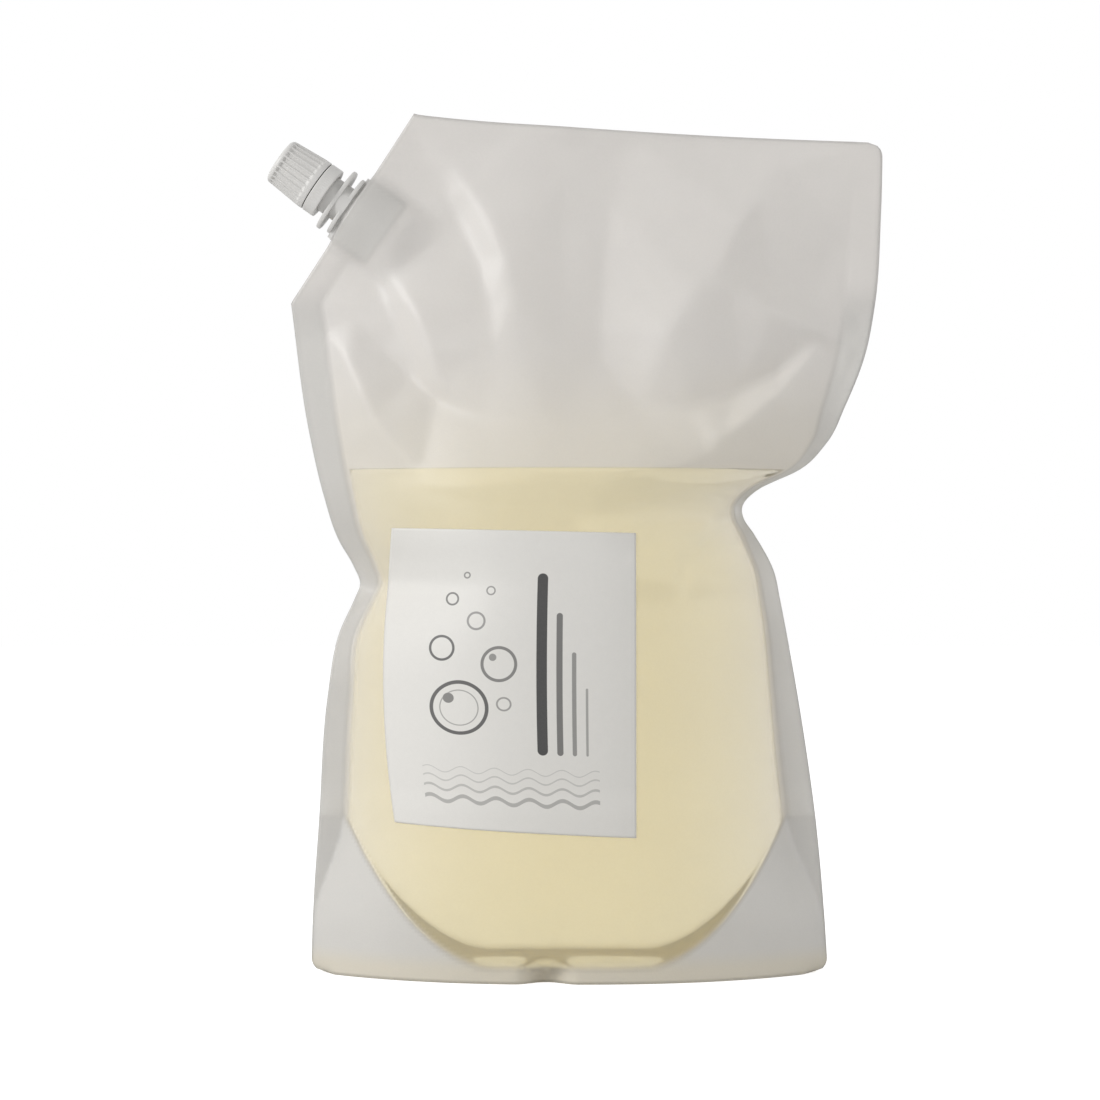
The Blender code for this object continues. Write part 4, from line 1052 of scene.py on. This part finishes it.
# %% Label material
paper, tree, end, position = new_material("label paper")
fine = use(tree, grain, {"Position": position, "Scale": 1800.0, "Tone": 0.04})
fibres = use(tree, clouds, {"Position": position, "Scale": 500.0, "Tone": 0.04})
across = add(tree, "Attribute", attribute_name="across").outputs["Fac"]
up = add(tree, "Attribute", attribute_name="up").outputs["Fac"]
REEDS = ((50.0, 53.4, 27.0, 88.0, 0.92), (56.4, 58.4, 27.0, 75.0, 0.75), (61.4, 62.8, 27.0, 62.0, 0.6),
         (65.8, 66.6, 27.0, 50.0, 0.5))
BUBBLES = (
    (25.0, 43.0, 9.0, 1.2, 0.85), (25.0, 43.0, 6.2, 0.4, 0.5), (21.6, 46.4, 0.9, 1.8, 0.7), (38.0, 58.0, 5.4, 1.0, 0.7),
    (36.0, 60.2, 0.6, 1.2, 0.6), (19.5, 63.0, 3.8, 0.8, 0.85), (30.5, 72.0, 2.7, 0.7, 0.6), (22.5, 79.0, 1.9, 0.6, 0.75),
    (39.5, 44.5, 2.2, 0.6, 0.55), (35.0, 82.0, 1.3, 0.5, 0.6), (27.0, 87.0, 0.9, 0.5, 0.6),
)
WAVES = ((10.5, 1.1, 1.3, 0.85), (14.5, 1.1, 0.8, 0.65), (18.0, 1.1, 0.5, 0.5), (21.0, 1.1, 0.3, 0.45))
ink = 0.0
for left, right, low, high, amount in REEDS:
    mask = use(tree, bar, {"Across": across, "Up": up, "Left": left, "Right": right, "Low": low, "High": high})["Mask"]
    ink = calc(tree, "MAXIMUM", ink, calc(tree, "MULTIPLY", mask, amount))
for middle_x, middle_y, radius, width, amount in BUBBLES:
    mask = use(tree, ring, {"Across": across, "Up": up, "Middle Across": middle_x, "Middle Up": middle_y,
                            "Radius": radius, "Line": width})["Mask"]
    ink = calc(tree, "MAXIMUM", ink, calc(tree, "MULTIPLY", mask, amount))
for level, swing, width, amount in WAVES:
    mask = use(tree, wave, {"Across": across, "Up": up, "Left": 12.0, "Right": 70.0, "Level": level, "Swing": swing,
                            "Line": width})["Mask"]
    ink = calc(tree, "MAXIMUM", ink, calc(tree, "MULTIPLY", mask, amount))
plain = shaded(tree, (0.735, 0.72, 0.685), fine["Shade"], fibres["Shade"])
colour = blend(tree, calc(tree, "MULTIPLY", ink, fine["Shade"]), plain, (0.012, 0.012, 0.014, 1.0))
roughness = calc(tree, "SUBTRACT", 0.55, calc(tree, "MULTIPLY", ink, 0.15))
lone(tree, end, Base_Color=colour, Roughness=roughness, IOR=1.45, Normal=bumped(tree, fine["Height"], 0.00008))
print("print", len(REEDS), "reeds,", len(BUBBLES), "rings and", len(WAVES), "waves")

# %% [markdown]
# ## Put the pieces on the frame
# Each piece rides on its body, so the cap turns and lifts as the joints say, and takes the place of the
# plain solid that it was made from.

# %% Bodies, slots and replaced solids
PIECES = (
    (front, "pack", "front_panel", "film", film), (back, "pack", "back_panel", "film", film),
    (gusset, "pack", "bottom_gusset", "film", film), (soap, "pack", "liquid_soap", "soap", soap_look),
    (label, "pack", "label", "label_paper", paper), (spout, "pack", "spout", "white_plastic", white),
    (band, "pack", "tamper_band", "white_plastic", white), (disc, "liner", "cap_seal_disc", "liner_foam", foam),
    (cap, "closure", "cap", "white_plastic", white),
)
for piece, body, node, slot, material in PIECES:
    piece.data.materials.clear()
    piece.data.materials.append(material)
    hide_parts(node)
    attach(piece, body)
print("pieces", len(PIECES), "triangles", sum(len(p.vertices) - 2 for row in PIECES for p in row[0].data.polygons))

# %% [markdown]
# ## Floor, light and camera
# The pack stands on a white table under a plain white sky. One broad lamp at the upper left gives the soft fall of
# light across the label, and the white sky fills the shadows.

# %% Floor
bpy.ops.mesh.primitive_plane_add(size=8.0, location=(0.0, 0.0, -0.0002))
floor = bpy.context.object
floor.name = "floor"
floor_look, tree, end, position = new_material("white table")
paint = add(tree, "BsdfDiffuse", {"Color": (0.8, 0.8, 0.8, 1.0)})
path = add(tree, "LightPath").outputs
seen = calc(tree, "MAXIMUM", path["Is Camera Ray"], path["Is Transmission Ray"])
glow = add(tree, "Emission", {"Color": (1.0, 1.0, 1.0, 1.0), "Strength": calc(tree, "MULTIPLY", seen, 0.75)})
both = add(tree, "AddShader", {0: paint.outputs[0], 1: glow.outputs[0]})
tree.links.new(both.outputs[0], end.inputs["Surface"])
floor.data.materials.append(floor_look)

# %% Sky: plain light, and plain white where it is seen directly or through the soap
world = bpy.data.worlds.new("studio")
bpy.context.scene.world = world
world.use_nodes = True
tree = world.node_tree
tree.nodes.clear()
path = add(tree, "LightPath").outputs
seen = calc(tree, "MAXIMUM", calc(tree, "MAXIMUM", path["Is Camera Ray"], path["Is Glossy Ray"]), path["Is Transmission Ray"])
SKY = 0.5
strength = calc(tree, "ADD", SKY, calc(tree, "MULTIPLY", seen, 1.0 - SKY))
sky = add(tree, "Background", {"Color": (1.0, 1.0, 1.0, 1.0), "Strength": strength})
tree.links.new(sky.outputs[0], add(tree, "OutputWorld").inputs["Surface"])

# %% Lamp at the upper left front and a weak one, like a white card, at the right
LAMP_WAY, LAMP_DISTANCE, LAMP_SIZE, LAMP_POWER = Vector((-0.76, -0.47, 0.45)).normalized(), 1.3, 0.7, 9.2
CARD_WAY, CARD_DISTANCE, CARD_SIZE, CARD_POWER = Vector((0.9, -0.3, 0.1)).normalized(), 1.2, 0.8, 2.6


def soft_lamp(name, way, distance, size, power):
    """A square lamp that far from the pack, turned towards it."""
    data = bpy.data.lights.new(name, "AREA")
    data.shape, data.size, data.energy = "SQUARE", size, power
    lamp = bpy.data.objects.new(name, data)
    lamp.location = Vector((0.0, 0.0, 0.15)) + way * distance
    lamp.rotation_mode = "QUATERNION"
    lamp.rotation_quaternion = way.to_track_quat("Z", "Y")
    bpy.context.scene.collection.objects.link(lamp)


soft_lamp("soft box", LAMP_WAY, LAMP_DISTANCE, LAMP_SIZE, LAMP_POWER)
soft_lamp("white card", CARD_WAY, CARD_DISTANCE, CARD_SIZE, CARD_POWER)

# %% Camera, level and straight in front as in the photograph
camera_data = bpy.data.cameras.new("camera")
camera_data.lens, camera_data.sensor_width = 113.83, 36.0
camera_data.clip_start, camera_data.clip_end = 0.01, 20.0
camera = bpy.data.objects.new("camera", camera_data)
camera.location = (-0.00845, -1.2, 0.1454)
camera.rotation_euler = (math.pi / 2, 0.0, 0.0)
bpy.context.scene.collection.objects.link(camera)
bpy.context.scene.camera = camera
bpy.context.scene.view_settings.view_transform = "Standard"
